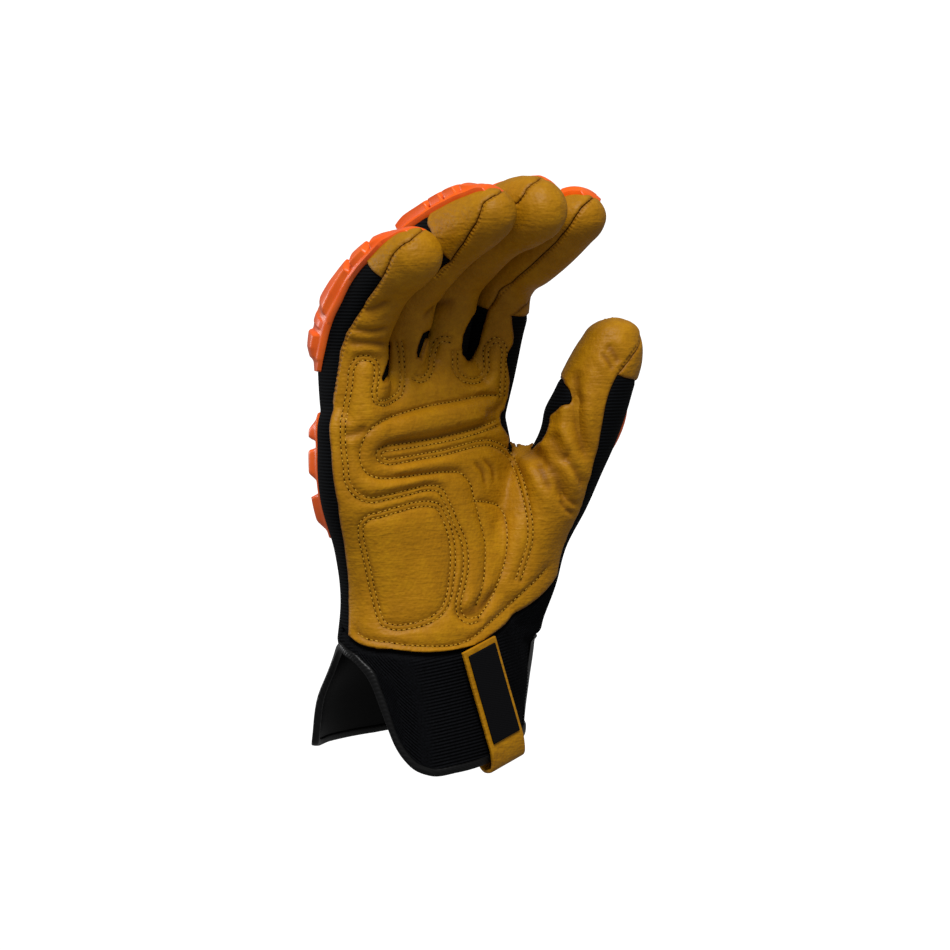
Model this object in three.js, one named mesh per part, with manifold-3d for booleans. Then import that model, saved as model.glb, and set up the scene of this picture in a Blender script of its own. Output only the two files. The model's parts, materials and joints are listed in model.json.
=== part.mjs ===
// A right-hand mechanic's work glove, shown filled as if worn: a soft leather palm, a black stretch-knit
// back,
// moulded rubber guards along the back of the hand and fingers, a ribbed wrist cuff with a deep notch on the
// little-finger side, bound edges, and a leather pull tab with a woven patch.
// Millimetres. +Z runs up the forearm towards the fingertips, the palm faces -Y and the thumb is on +X.
// The origin is the middle of the cuff's mouth.
import * as THREE from 'three';
import { mergeVertices } from 'three/addons/utils/BufferGeometryUtils.js';
import Module from 'manifold-3d';

const wasm = await Module();
wasm.setup();

// Driving dimensions.
const wall = 1.8;          // leather or knit together with its lining
const seamGap = 0.3;       // clearance between sewn panels
const bindingWidth = 3.2;  // satin tape folded over the cuff's edge
const bindingProud = 0.7;  // how far the tape stands over the wall on each side
const padRise = 1.1;       // padding stitched under the palm leather
const guardLift = 0.6;     // clearance between a rubber guard and the knit that it is bonded to
const guardBase = 1.9;     // top of a guard's thin web over the knit
const fingerDraft = 0.012; // share of a finger over which a block's ends slope
const levelDraft = 1.6;    // the same for the blocks on the back of the hand and on the thumb
const palmSides = { outer: 26, inner: 14 };
const fingerSides = { outer: 12, inner: 6 };
const cuffStep = 9;        // degrees between the points of the cuff's edges

// Angles run round a cross-section in degrees: 0 faces the palm side, 90 the thumb side, 180 the back.

// The palm and cuff, one row for each level: centre, half sizes, and how far the two edges curl to the front.
const palmRows = [
  { z: -16, x: 2, y: 1, halfWidth: 44, halfDepth: 32, curl: 0 },
  { z: 8, x: 3, y: 1, halfWidth: 44, halfDepth: 31.5, curl: 0 },
  { z: 28, x: 4.5, y: 1, halfWidth: 43.5, halfDepth: 30, curl: 0 },
  { z: 46, x: 6.5, y: 0, halfWidth: 43, halfDepth: 28.5, curl: 0 },
  { z: 64, x: 4.6, y: 0, halfWidth: 44.1, halfDepth: 26.5, curl: 1 },
  { z: 84, x: -0.3, y: 0, halfWidth: 45.4, halfDepth: 24, curl: 3 },
  { z: 104, x: -6.2, y: 0, halfWidth: 48.2, halfDepth: 22, curl: 4.5 },
  { z: 124, x: -8.8, y: 1, halfWidth: 48.6, halfDepth: 20.5, curl: 6.5 },
  { z: 140, x: -8.2, y: 1, halfWidth: 46.9, halfDepth: 19.5, curl: 6.5 },
  { z: 148, x: -4, y: 1, halfWidth: 41.5, halfDepth: 18.5, curl: 5 },
  { z: 156, x: 1, y: 1, halfWidth: 34, halfDepth: 15.5, curl: 2 },
  { z: 163, x: 3, y: 1, halfWidth: 25, halfDepth: 11, curl: 0 },
  { z: 167, x: 2.5, y: 1, halfWidth: 11, halfDepth: 4, curl: 0 },
];

// How far the back of the cuff flares outwards at each level, and how much of that there is round the wrist.
const flareRows = [
  { z: -16, out: 11 }, { z: 6, out: 9 }, { z: 26, out: 7 }, { z: 36, out: 3.5 }, { z: 44, out: 0 },
];
const flareShares = [
  { angle: -260, share: 0 }, { angle: -230, share: 0.1 }, { angle: -180, share: 0.5 },
  { angle: -140, share: 1 }, { angle: -108, share: 1 }, { angle: -96, share: 0 }, { angle: 100, share: 0 },
];

// The bound edge of the cuff's mouth: the hem in front, the notch on the little-finger side, and the flap
// behind.
const mouthRows = [
  { angle: -180, z: 7 }, { angle: -150, z: 6.5 }, { angle: -134, z: 6 }, { angle: -124, z: 10 },
  { angle: -116, z: 24 }, { angle: -109, z: 38 }, { angle: -102, z: 44 }, { angle: -91, z: 43 },
  { angle: -79, z: 39.5 }, { angle: -69, z: 32 }, { angle: -62, z: 21 }, { angle: -55, z: 9 },
  { angle: -46, z: 0 }, { angle: -34, z: -4.5 }, { angle: -18, z: -4 }, { angle: 8, z: -0.5 },
  { angle: 32, z: 4.5 }, { angle: 56, z: 7.5 }, { angle: 100, z: 9 }, { angle: 140, z: 8 },
  { angle: 180, z: 7 },
];

// The bottom edge of the palm leather, where the ribbed cuff begins, and the level where the back's knit
// ends.
const palmEdgeRows = [
  { angle: -180, z: 53 }, { angle: -94, z: 53 }, { angle: -86, z: 51 }, { angle: -79, z: 49 },
  { angle: -56, z: 46.8 }, { angle: -34, z: 45.3 }, { angle: -18, z: 45.7 }, { angle: -5, z: 47 },
  { angle: 9, z: 50.5 }, { angle: 27, z: 57 }, { angle: 36, z: 63 }, { angle: 46, z: 72 },
  { angle: 60, z: 84 }, { angle: 80, z: 95 }, { angle: 100, z: 104 },
  { angle: 140, z: 104 }, { angle: 180, z: 53 },
];
const backEdgeZ = 47;
const frontPanel = { from: -102, to: 50 };

// The fingers: knuckle centre, lean towards the thumb, bone lengths, bend at each joint, and gloved width
// and depth.
const fingers = [
  {
    name: 'index', knuckle: [25.5, -3, 138], lean: 3, bones: [48, 32, 29],
    bend: [12, 41, 17], width: 24, depth: 26.5,
  },
  {
    name: 'middle', knuckle: [2.2, 1, 142], lean: 1, bones: [50, 34, 31],
    bend: [13, 41, 18], width: 23, depth: 26.5,
  },
  {
    name: 'ring', knuckle: [-20.5, 1, 140], lean: 1, bones: [47, 32, 32],
    bend: [12, 41, 16], width: 22, depth: 26.5,
  },
  {
    name: 'pinky', knuckle: [-41.6, -5.5, 131.4], lean: -2.1, bones: [39.4, 27.8, 31.8],
    bend: [-3, 50.6, 15.1], width: 24.3, depth: 29.2,
  },
];

// A finger's outline, one row for each station: share of its length from the knuckle, and shares of width
// and depth.
const fingerRows = [
  { share: -0.2, width: 0.8, depth: 0.72 },
  { share: 0.1, width: 1, depth: 1.01 },
  { share: 0.34, width: 1, depth: 1 },
  { share: 0.47, width: 1.01, depth: 1 },
  { share: 0.61, width: 0.98, depth: 0.95 },
  { share: 0.76, width: 0.98, depth: 0.92 },
  { share: 0.88, width: 0.94, depth: 0.87 },
  { share: 0.95, width: 0.78, depth: 0.71 },
  { share: 0.99, width: 0.42, depth: 0.38 },
];

// The leather front of each finger, from its left to its right seam, at shares of the length.
const fingerSeams = {
  index: [
    [-0.22, -80, 6], [0.38, -78, 8], [0.46, -76, 60], [0.7, -74, 84], [0.92, -84, 96], [1.02, -100, 110],
  ],
  middle: [[-0.22, -80, 76], [0.5, -78, 76], [0.7, -74, 84], [0.92, -84, 96], [1.02, -100, 110]],
  ring: [[-0.22, -80, 76], [0.5, -78, 76], [0.7, -74, 84], [0.92, -84, 96], [1.02, -100, 110]],
  pinky: [
    [-0.22, -94, 76], [0.13, -84.5, 76], [0.31, -66, 77], [0.45, -58, 78], [0.74, -70, 84], [0.9, -82, 96],
    [1.02, -120, 110],
  ],
};
const capStart = { index: 0.57, middle: 0.57, ring: 0.58, pinky: 0.73 };

// The thumb, as levels of one leaning tube, and the left and right seams of its leather.
const thumbRows = [
  { z: 40, x: 24, y: -1, halfWidth: 15, halfDepth: 13, left: -150, right: 90 },
  { z: 52, x: 27.5, y: -3, halfWidth: 22, halfDepth: 18, left: -150, right: 60 },
  { z: 66, x: 31, y: -9, halfWidth: 24, halfDepth: 19, left: -150, right: 34 },
  { z: 82, x: 37, y: -15, halfWidth: 21.5, halfDepth: 18, left: -150, right: 23.5 },
  { z: 98, x: 44.5, y: -22, halfWidth: 18, halfDepth: 17, left: -150, right: 15 },
  { z: 113, x: 49, y: -28, halfWidth: 16, halfDepth: 15.5, left: -150, right: 3 },
  { z: 122, x: 51, y: -32, halfWidth: 15.2, halfDepth: 15, left: -104, right: -7 },
  { z: 131, x: 53, y: -35.5, halfWidth: 14.8, halfDepth: 14.5, left: -92, right: -14 },
  { z: 145, x: 56, y: -40, halfWidth: 14.5, halfDepth: 14, left: -84, right: -18.5 },
  { z: 158, x: 58.5, y: -43, halfWidth: 13.8, halfDepth: 13.3, left: -124, right: -3.5 },
  { z: 166, x: 59.2, y: -45, halfWidth: 11.8, halfDepth: 11.3, left: -130, right: 60 },
  { z: 173, x: 59.5, y: -46, halfWidth: 6.5, halfDepth: 6, left: -140, right: 120 },
];
const thumbCapZ = 151;

// The seams of the palm leather at each level: on the little-finger side, and in front of the thumb's root.
const palmSeamRows = [
  { z: 40, left: -89, right: 92 }, { z: 64, left: -93, right: 76 }, { z: 84, left: -87.5, right: 52 },
  { z: 104, left: -78.5, right: 50 }, { z: 124, left: -82.5, right: 57 }, { z: 140, left: -87, right: 66 },
  { z: 170, left: -87, right: 70 },
];

// The web between the palm and the thumb: flat oval levels, turned to run from the palm's edge out to the
// thumb.
const webTurn = -62;
const webRows = [
  { z: 62, x: 32, y: -9, halfLength: 14, halfThickness: 12 },
  { z: 84, x: 36, y: -13, halfLength: 18, halfThickness: 12 },
  { z: 104, x: 41, y: -16, halfLength: 18, halfThickness: 9.5 },
  { z: 116, x: 43, y: -18, halfLength: 17, halfThickness: 7 },
  { z: 121.5, x: 43.5, y: -18, halfLength: 15, halfThickness: 4.5 },
  { z: 124, x: 43.5, y: -18, halfLength: 11, halfThickness: 1.5 },
];

// Padded areas of the palm, as rounded boxes seen from the front: centre, half sizes and turn.
const pads = [
  { x: -25.5, z: 75, halfWidth: 20, halfHeight: 25.5, turn: 8, round: 8 },
  { x: -14, z: 118.5, halfWidth: 27, halfHeight: 6, turn: 6, round: 5 },
  { x: 17, z: 81, halfWidth: 12.5, halfHeight: 24, turn: -8, round: 10 },
];

// The rubber guards. Places are shares of a finger's length, or levels on the back of the hand and on the
// thumb. Each
// guard spans the angles of its rows. Its raised blocks take up shares of that span and lengths between
// places, and
// their tops stand as far over the skin as the rise.
const fingerGuard = {
  columns: [[0, 0.16, 0.5, 0.84, 1]], span: [{ place: 0.2, from: 135, to: 225 }],
  ends: [0.24, 0.93], rise: 4.2, blocks: [[0.27, 0.37], [0.4, 0.52], [0.54, 0.66], [0.69, 0.78]],
};
const pinkyGuard = {
  columns: [[0, 0.12, 0.36, 0.64, 0.9, 1]],
  span: [
    { place: 0.24, from: 135, to: 246 }, { place: 0.36, from: 135, to: 267 },
    { place: 0.52, from: 135, to: 267 }, { place: 0.62, from: 135, to: 258 },
    { place: 0.75, from: 135, to: 249 }, { place: 0.93, from: 140, to: 243 },
  ],
  ends: [0.25, 0.95], rise: 3.5,
  blocks: [[0.27, 0.375], [0.4, 0.43], [0.45, 0.61], [0.64, 0.69], [0.71, 0.83]],
};
const backGuard = {
  columns: [[0, 0.04, 0.22, 0.26], [0.26, 0.3, 0.48, 0.52], [0.52, 0.56, 0.74, 0.78], [0.78, 0.82, 0.98, 1]],
  span: [{ place: 88, from: 130, to: 233 }],
  ends: [88, 139], rise: 4.6, blocks: [[92.5, 105], [111, 124], [127, 136.5]],
};
const thumbGuard = {
  columns: [[0, 0.12, 0.37, 0.63, 0.88, 1]],
  span: [
    { place: 112, from: 108, to: 142 }, { place: 117, from: 88, to: 162 }, { place: 126, from: 75, to: 175 },
    { place: 133, from: 75, to: 175 }, { place: 141, from: 88, to: 162 }, { place: 147, from: 108, to: 142 },
  ],
  ends: [112, 147], rise: 4.2, blocks: [[115, 122], [125.5, 134.5], [138, 144]],
};

// The leather pull tab, folded under the hem into a loop, and the woven patch on its front. Each line is
// the strip's
// middle in the side view, as depth and level.
const tab = {
  width: 18.5, thick: 1.4, top: 47, lean: 11, x: 3,
  line: [
    [-29.9, 47], [-31.3, 29], [-32.8, 11], [-33.2, 3], [-31, -3.2], [-27, -3.8], [-23.9, 1.5], [-23.2, 8],
  ],
};
const label = { width: 14, thick: 0.8, line: [[-31.4, 43], [-32.5, 28], [-34.1, 9.5]] };

const radians = THREE.MathUtils.degToRad;
const xAxis = new THREE.Vector3(1, 0, 0);
const yAxis = new THREE.Vector3(0, 1, 0);

// A value of a column between the rows of a table, eased if asked, and held level past its ends.
function between(rows, key, at, column, smooth = false) {
  if (at <= rows[0][key]) return rows[0][column];
  for (let i = 1; i < rows.length; i++) {
    if (at > rows[i][key]) continue;
    const share = (at - rows[i - 1][key]) / (rows[i][key] - rows[i - 1][key]);
    if (!smooth) return THREE.MathUtils.lerp(rows[i - 1][column], rows[i][column], share);
    const before = rows[Math.max(i - 2, 0)][column];
    const after = rows[Math.min(i + 1, rows.length - 1)][column];
    const a = rows[i - 1][column];
    const b = rows[i][column];
    const s2 = share * share;
    return 0.5 * (2 * a + (b - before) * share + (2 * before - 5 * a + 4 * b - after) * s2
      + (3 * a - before - 3 * b + after) * s2 * share);
  }
  return rows.at(-1)[column];
}

// A closed skin through cross-sections with equal counts of points, with a fan over each end.
function loft(sections) {
  const count = sections[0].length;
  const positions = [];
  const index = [];
  const middle = (points) => points.reduce((sum, p) => sum.add(p), new THREE.Vector3()).divideScalar(count);
  for (const points of sections) points.forEach((p) => positions.push(p.x, p.y, p.z));
  for (let row = 0; row < sections.length - 1; row++) {
    for (let i = 0; i < count; i++) {
      const a = row * count + i;
      const b = row * count + ((i + 1) % count);
      index.push(a, b, b + count, a, b + count, a + count);
    }
  }
  const last = (sections.length - 1) * count;
  const low = positions.length / 3;
  middle(sections[0]).toArray(positions, positions.length);
  middle(sections.at(-1)).toArray(positions, positions.length);
  for (let i = 0; i < count; i++) {
    const next = (i + 1) % count;
    index.push(low, next, i, low + 1, last + i, last + next);
  }
  const geometry = new THREE.BufferGeometry();
  geometry.setAttribute('position', new THREE.Float32BufferAttribute(positions, 3));
  geometry.setIndex(index);
  return solid(geometry);
}

// A closed geometry as a solid that can be joined and cut.
function solid(geometry) {
  const bare = geometry.clone();
  bare.deleteAttribute('normal');
  bare.deleteAttribute('uv');
  const merged = mergeVertices(bare, 1e-4);
  return new wasm.Manifold(new wasm.Mesh({
    numProp: 3,
    vertProperties: new Float32Array(merged.attributes.position.array),
    triVerts: new Uint32Array(merged.index.array),
  }));
}

const union = (solids) => solids.reduce((whole, one) => whole.add(one));

// A point of a cross-section. The frame holds its centre, its width and back directions, and its half sizes.
function onSection(frame, angle, reach = 1, grow = 0) {
  const turn = radians(angle);
  const across = Math.sin(turn) * Math.max(frame.halfWidth * reach + grow, 0.3);
  const through = -Math.cos(turn) * Math.max(frame.halfDepth * reach + grow, 0.3);
  const curl = (frame.curl ?? 0) * Math.sin(turn) ** 2;
  return frame.centre.clone()
    .addScaledVector(frame.across, across).addScaledVector(frame.back, through - curl);
}

// A skin through frames. An inner one is coarser and lies inside the outer one all over.
function skin(frames, sides, grow) {
  const count = grow < 0 ? sides.inner : sides.outer;
  const ring = (frame) => Array.from(
    { length: count }, (_, i) => onSection(frame, (360 * i) / count, 1, grow));
  return loft(frames.map(ring));
}

// A wedge that runs along the frames between two angles, reaching well outside the skin.
function wedge(frames, from, to, reach = 1.45, fan = 8) {
  return loft(frames.map((frame, row) => {
    const start = typeof from === 'number' ? from : from[row];
    const end = typeof to === 'number' ? to : to[row];
    const rim = Array.from(
      { length: fan + 1 }, (_, i) => onSection(frame, start + ((end - start) * i) / fan, reach));
    return [onSection(frame, 0, 0), ...rim];
  }));
}

// Everything along the frames, out to well past the skin.
const around = (frames, reach) => loft(frames.map((frame) => Array.from(
  { length: 8 }, (_, i) => onSection(frame, 45 * i, reach))));

// The palm's frames. Its domed top moves with the skin as that grows or shrinks.
function palmFrames(grow = 0) {
  return palmRows.map((row) => ({
    centre: new THREE.Vector3(row.x, row.y, row.z + (row.z > 150 ? grow : 0)), across: xAxis, back: yAxis,
    halfWidth: row.halfWidth, halfDepth: row.halfDepth, curl: row.curl, z: row.z,
  }));
}

const palmForm = (grow) => skin(palmFrames(grow), palmSides, grow);

// A frame of a finger at a share of its length: the middle line bends at each joint.
function fingerFrame(finger, share, grow = 0) {
  const [first, second, third] = finger.bones;
  const total = first + second + third;
  const joints = [0, first, first + second];
  const blend = 12;
  const lean = radians(finger.lean);
  const along = new THREE.Vector3(Math.sin(lean), 0, Math.cos(lean));
  const across = new THREE.Vector3(Math.cos(lean), 0, -Math.sin(lean));
  const bendAt = (s) => radians(finger.bend.reduce(
    (sum, bend, i) => sum + bend * THREE.MathUtils.smoothstep(s, joints[i] - blend, joints[i] + blend), 0));
  const target = share * total + (share > 0.9 ? grow : 0);
  const start = Math.min(fingerRows[0].share * total, target);
  const centre = new THREE.Vector3(...finger.knuckle).addScaledVector(along, start);
  const steps = Math.max(1, Math.ceil(target - start));
  const step = (target - start) / steps;
  for (let i = 0; i < steps; i++) {
    const turn = bendAt(start + (i + 0.5) * step);
    centre.addScaledVector(along, Math.cos(turn) * step).addScaledVector(yAxis, -Math.sin(turn) * step);
  }
  const turn = bendAt(target);
  return {
    centre, across,
    back: along.clone().multiplyScalar(Math.sin(turn)).addScaledVector(yAxis, Math.cos(turn)),
    halfWidth: (between(fingerRows, 'share', share, 'width') * finger.width) / 2,
    halfDepth: (between(fingerRows, 'share', share, 'depth') * finger.depth) / 2,
  };
}

const fingerForm = (finger, grow) => skin(
  fingerRows.map((row) => fingerFrame(finger, row.share, grow)), fingerSides, grow);

function thumbFrames(rows, grow = 0) {
  return rows.map((row) => ({
    centre: new THREE.Vector3(row.x, row.y, row.z + (row.z > 160 ? grow : 0)), across: xAxis, back: yAxis,
    halfWidth: row.halfWidth, halfDepth: row.halfDepth,
  }));
}

const thumbForm = (grow) => skin(thumbFrames(thumbRows, grow), fingerSides, grow);

function webFrames(grow = 0) {
  const turn = radians(webTurn);
  return webRows.map((row) => ({
    centre: new THREE.Vector3(row.x, row.y, row.z + (row.z > 120 ? grow : 0)),
    across: new THREE.Vector3(Math.cos(turn), Math.sin(turn), 0),
    back: new THREE.Vector3(-Math.sin(turn), Math.cos(turn), 0),
    halfWidth: row.halfLength, halfDepth: row.halfThickness,
  }));
}

const webForm = (grow) => skin(webFrames(grow), fingerSides, grow);

const handForm = (grow) => union([palmForm(grow), thumbForm(grow), webForm(grow),
  ...fingers.map((finger) => fingerForm(finger, grow))]);

const wristFrame = (z) => ({
  centre: new THREE.Vector3(4, 1, z), across: xAxis, back: yAxis, halfWidth: 44, halfDepth: 31,
});

// Everything round the wrist between a lower and an upper edge, which are levels that change with the angle.
function crown(lowAt, highAt) {
  const { centre, halfWidth, halfDepth } = wristFrame(0);
  const rim = (reach, levelAt) => Array.from({ length: 720 / cuffStep }, (_, i) => {
    const angle = (cuffStep / 2) * i;
    const turn = radians(angle);
    return new THREE.Vector3(
      centre.x + halfWidth * reach * Math.sin(turn), centre.y - halfDepth * reach * Math.cos(turn),
      levelAt(angle > 180 ? angle - 360 : angle));
  });
  const reaches = [0.2, 0.7, 0.9, 1.1, 1.35, 1.8, 2.4];
  const lower = reaches.map((reach) => rim(reach, lowAt));
  const upper = reaches.reverse().map((reach) => rim(reach, highAt));
  return loft([...lower, ...upper]);
}

const palmEdgeAt = (angle) => between(palmEdgeRows, 'angle', angle, 'z', true);
const mouthAt = (angle) => between(mouthRows, 'angle', angle, 'z', true);

// The tape's height on a steep stretch of the edge grows, so that its width across the tape stays the same.
function bandTopAt(angle) {
  const step = 2;
  const meanRadius = 37;
  const slope = (mouthAt(Math.min(angle + step, 180)) - mouthAt(Math.max(angle - step, -180)))
    / (2 * step * radians(1) * meanRadius);
  return mouthAt(angle) + bindingWidth * Math.min(Math.hypot(1, slope), 3);
}

const glove = new THREE.Group();

function add(name, made, color, roughness) {
  const mesh = made.getMesh();
  const geometry = new THREE.BufferGeometry();
  geometry.setAttribute('position', new THREE.Float32BufferAttribute(mesh.vertProperties, 3));
  geometry.setIndex(new THREE.BufferAttribute(mesh.triVerts, 1));
  const node = new THREE.Mesh(geometry, new THREE.MeshStandardMaterial({ color, roughness, metalness: 0 }));
  node.name = name;
  glove.add(node);
  return node;
}

const colours = { leather: 0xc08a1c, knit: 0x0d0d10, satin: 0x1c1c20, rubber: 0xf0682a, patch: 0x15151a };

const outer = handForm(0);
const inner = handForm(-wall);
const shell = outer.subtract(inner);

// Where the leather lies, as wedges of each form. A margin makes the space that the neighbouring panels keep.
function leatherZone(margin) {
  const turn = margin / 12 / radians(1);
  const palmTurn = margin / 40 / radians(1);
  const seams = (side, shift) => palmRows.map((row) => between(palmSeamRows, 'z', row.z, side) + shift);
  const palmZone = wedge(palmFrames(), seams('left', -palmTurn), seams('right', palmTurn));
  const parts = [palmForm(margin).intersect(palmZone)];
  for (const finger of fingers) {
    const rows = fingerSeams[finger.name];
    const frames = rows.map(([share]) => fingerFrame(finger, share));
    const zone = wedge(frames, rows.map((row) => row[1] - turn), rows.map((row) => row[2] + turn));
    parts.push(fingerForm(finger, margin).intersect(zone));
  }
  const zone = wedge(thumbFrames(thumbRows), thumbRows.map((row) => row.left - turn),
    thumbRows.map((row) => row.right + turn));
  parts.push(thumbForm(margin).intersect(zone));
  parts.push(webForm(margin).intersect(wedge(webFrames(), -96 - turn, 96 + turn)));
  return union(parts).intersect(crown((angle) => palmEdgeAt(angle) - 6 * margin, () => 400));
}

// A padded area: a rounded box seen from the front, as deep as the palm's front half.
function padZone(pad) {
  const corner = (sx, sz) => [sx * (pad.halfWidth - pad.round), sz * (pad.halfHeight - pad.round)];
  const corners = [corner(1, 1), corner(-1, 1), corner(-1, -1), corner(1, -1)];
  const turn = radians(pad.turn);
  const outline = corners.flatMap(([cx, cz], quarter) => Array.from({ length: 5 }, (_, i) => {
    const angle = radians(90 * quarter + 22.5 * i);
    const across = cx + pad.round * Math.cos(angle);
    const up = cz + pad.round * Math.sin(angle);
    return [
      pad.x + across * Math.cos(turn) - up * Math.sin(turn),
      pad.z + across * Math.sin(turn) + up * Math.cos(turn),
    ];
  }));
  return loft([-8, -60].map((y) => outline.map(([px, pz]) => new THREE.Vector3(px, y, pz))));
}

const padded = union(pads.map((pad) => palmForm(padRise).add(thumbForm(padRise)).intersect(padZone(pad))));
const leather = leatherZone(0);
const palmLeather = leather.add(padded.intersect(crown(palmEdgeAt, () => 400))).subtract(inner);
add('palm_leather', palmLeather, colours.leather, 0.6);

// The leather caps over the back of each fingertip, sewn to the front leather along the sides of the finger.
const leatherRoom = leatherZone(seamGap);
const capRoom = [];
for (const finger of fingers) {
  const start = capStart[finger.name];
  const zoneFrom = (share) => around([share, 0.8, 1.02].map((at) => fingerFrame(finger, at)), 1.45);
  const cap = fingerForm(finger, 0).intersect(zoneFrom(start)).subtract(inner).subtract(leatherRoom);
  capRoom.push(fingerForm(finger, seamGap).intersect(zoneFrom(start - 0.003)));
  add(`cap_${finger.name}`, cap, colours.leather, 0.6);
}
const above = (z) => crown(() => z, () => 400);
const below = (z) => crown(() => -200, () => z);
const thumbCap = thumbForm(0).intersect(above(thumbCapZ)).subtract(inner).subtract(leatherRoom);
add('cap_thumb', thumbCap, colours.leather, 0.6);
capRoom.push(thumbForm(seamGap).intersect(above(thumbCapZ - seamGap)));

// The sector round the wrist between two angles.
const sector = (from, to) => wedge([wristFrame(-60), wristFrame(140)], from, to, 2.4, 10);

function levelFrame(rows, z) {
  const column = (name) => between(rows, 'z', z, name);
  return {
    centre: new THREE.Vector3(column('x'), column('y'), z), across: xAxis, back: yAxis,
    halfWidth: column('halfWidth'), halfDepth: column('halfDepth'),
    curl: rows === palmRows ? column('curl') : 0,
  };
}

// How far a ray from the wrist's middle goes, in its own lengths, to the skin of an oval level.
function reachOf(level, middle, ray, grow) {
  const offset = middle.clone().sub(level.centre);
  const [a, b] = [level.halfWidth + grow, level.halfDepth + grow];
  const square = (ray.x / a) ** 2 + (ray.y / b) ** 2;
  const mixed = (ray.x * offset.x) / a ** 2 + (ray.y * offset.y) / b ** 2;
  const rest = (offset.x / a) ** 2 + (offset.y / b) ** 2 - 1;
  const root = mixed ** 2 - square * rest;
  return root > 0 ? (Math.sqrt(root) - mixed) / square : 0;
}

// A point on the wrist at an angle and a level: on the palm's skin with its flare, or on the base of the
// thumb where
// that stands further out.
function onWrist(angle, z, grow) {
  const side = angle > 180 ? angle - 360 : angle;
  const flareShare = between(flareShares, 'angle', side > 100 ? side - 360 : side, 'share');
  const flare = flareShare * between(flareRows, 'z', z, 'out');
  const wrist = wristFrame(z);
  const ray = onSection(wrist, angle).sub(wrist.centre);
  const reaches = [reachOf(levelFrame(palmRows, z), wrist.centre, ray, grow + flare)];
  if (z > thumbRows[0].z) reaches.push(reachOf(levelFrame(thumbRows, z), wrist.centre, ray, grow));
  return wrist.centre.addScaledVector(ray, Math.max(...reaches));
}

// A sheet with an outer and an inner face over a grid, closed at its rims, or running all the way round.
function sheet(columns, rows, outerAt, innerAt, round = false) {
  const positions = [];
  const index = [];
  for (const at of [outerAt, innerAt]) {
    for (const column of columns) {
      for (const row of rows) at(column, row).toArray(positions, positions.length);
    }
  }
  const inside = columns.length * rows.length;
  const id = (c, r, inner) => (c % columns.length) * rows.length + r + (inner ? inside : 0);
  const quad = (a, b, c, d) => index.push(a, b, c, a, c, d);
  const spans = round ? columns.length : columns.length - 1;
  for (let c = 0; c < spans; c++) {
    for (let r = 0; r < rows.length - 1; r++) {
      quad(id(c, r), id(c + 1, r), id(c + 1, r + 1), id(c, r + 1));
      quad(id(c, r, true), id(c, r + 1, true), id(c + 1, r + 1, true), id(c + 1, r, true));
    }
    const top = rows.length - 1;
    quad(id(c, 0), id(c, 0, true), id(c + 1, 0, true), id(c + 1, 0));
    quad(id(c, top), id(c + 1, top), id(c + 1, top, true), id(c, top, true));
  }
  for (let r = 0; r < rows.length - 1 && !round; r++) {
    const far = columns.length - 1;
    quad(id(0, r), id(0, r + 1), id(0, r + 1, true), id(0, r, true));
    quad(id(far, r), id(far, r, true), id(far, r + 1, true), id(far, r + 1));
  }
  const geometry = new THREE.BufferGeometry();
  geometry.setAttribute('position', new THREE.Float32BufferAttribute(positions, 3));
  geometry.setIndex(index);
  return solid(geometry);
}

// The angles of a cuff panel: its ends, and the cuff's regular steps between them.
function cuffAngles(from, to) {
  const angles = [from];
  for (let angle = Math.ceil(from / cuffStep) * cuffStep; angle < to; angle += cuffStep) {
    if (angle > from + 1 && angle < to - 1) angles.push(angle);
  }
  return [...angles, to];
}

const onCuff = (columns, rows, lowAt, highAt, outerGrow, innerGrow, round) => {
  const at = (grow) => (angle, share) => {
    const side = angle > 180 ? angle - 360 : angle;
    return onWrist(angle, THREE.MathUtils.lerp(lowAt(side), highAt(side), share), grow);
  };
  return sheet(columns, rows, at(outerGrow), at(innerGrow), round);
};

// The cuff: a ribbed panel in front, a plain flap behind, and the tape round the mouth's edge.
const gapAngle = (1.5 * seamGap) / 37 / radians(1);
const aboveTape = (angle) => bandTopAt(angle) + seamGap;
const shares = [0, 0.33, 0.67, 1];
add('wrist_cuff', onCuff(cuffAngles(frontPanel.from, frontPanel.to), shares, aboveTape,
  (angle) => palmEdgeAt(angle) - 2.6 * seamGap, 0, -wall), colours.knit, 0.85);
const flapAngles = cuffAngles(frontPanel.to + gapAngle, frontPanel.from + 360 - gapAngle);
add('cuff_back', onCuff(flapAngles, shares, aboveTape, () => backEdgeZ, 0, -wall), colours.satin, 0.6);
add('cuff_binding', onCuff(cuffAngles(0, 360).slice(0, -1), [0, 1], mouthAt, bandTopAt,
  bindingProud, -wall - bindingProud, true), colours.satin, 0.5);

// The stretch knit covers whatever the leather and the cuff leave bare.
const frontRoom = crown(() => -200, palmEdgeAt)
  .intersect(sector(frontPanel.from - gapAngle, frontPanel.to + gapAngle));
const flapRoom = below(backEdgeZ + seamGap).intersect(sector(frontPanel.to - 1, frontPanel.from + 361));
add('back_knit', shell.subtract(union([leatherRoom, ...capRoom, frontRoom, flapRoom])), colours.knit, 0.9);

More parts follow.
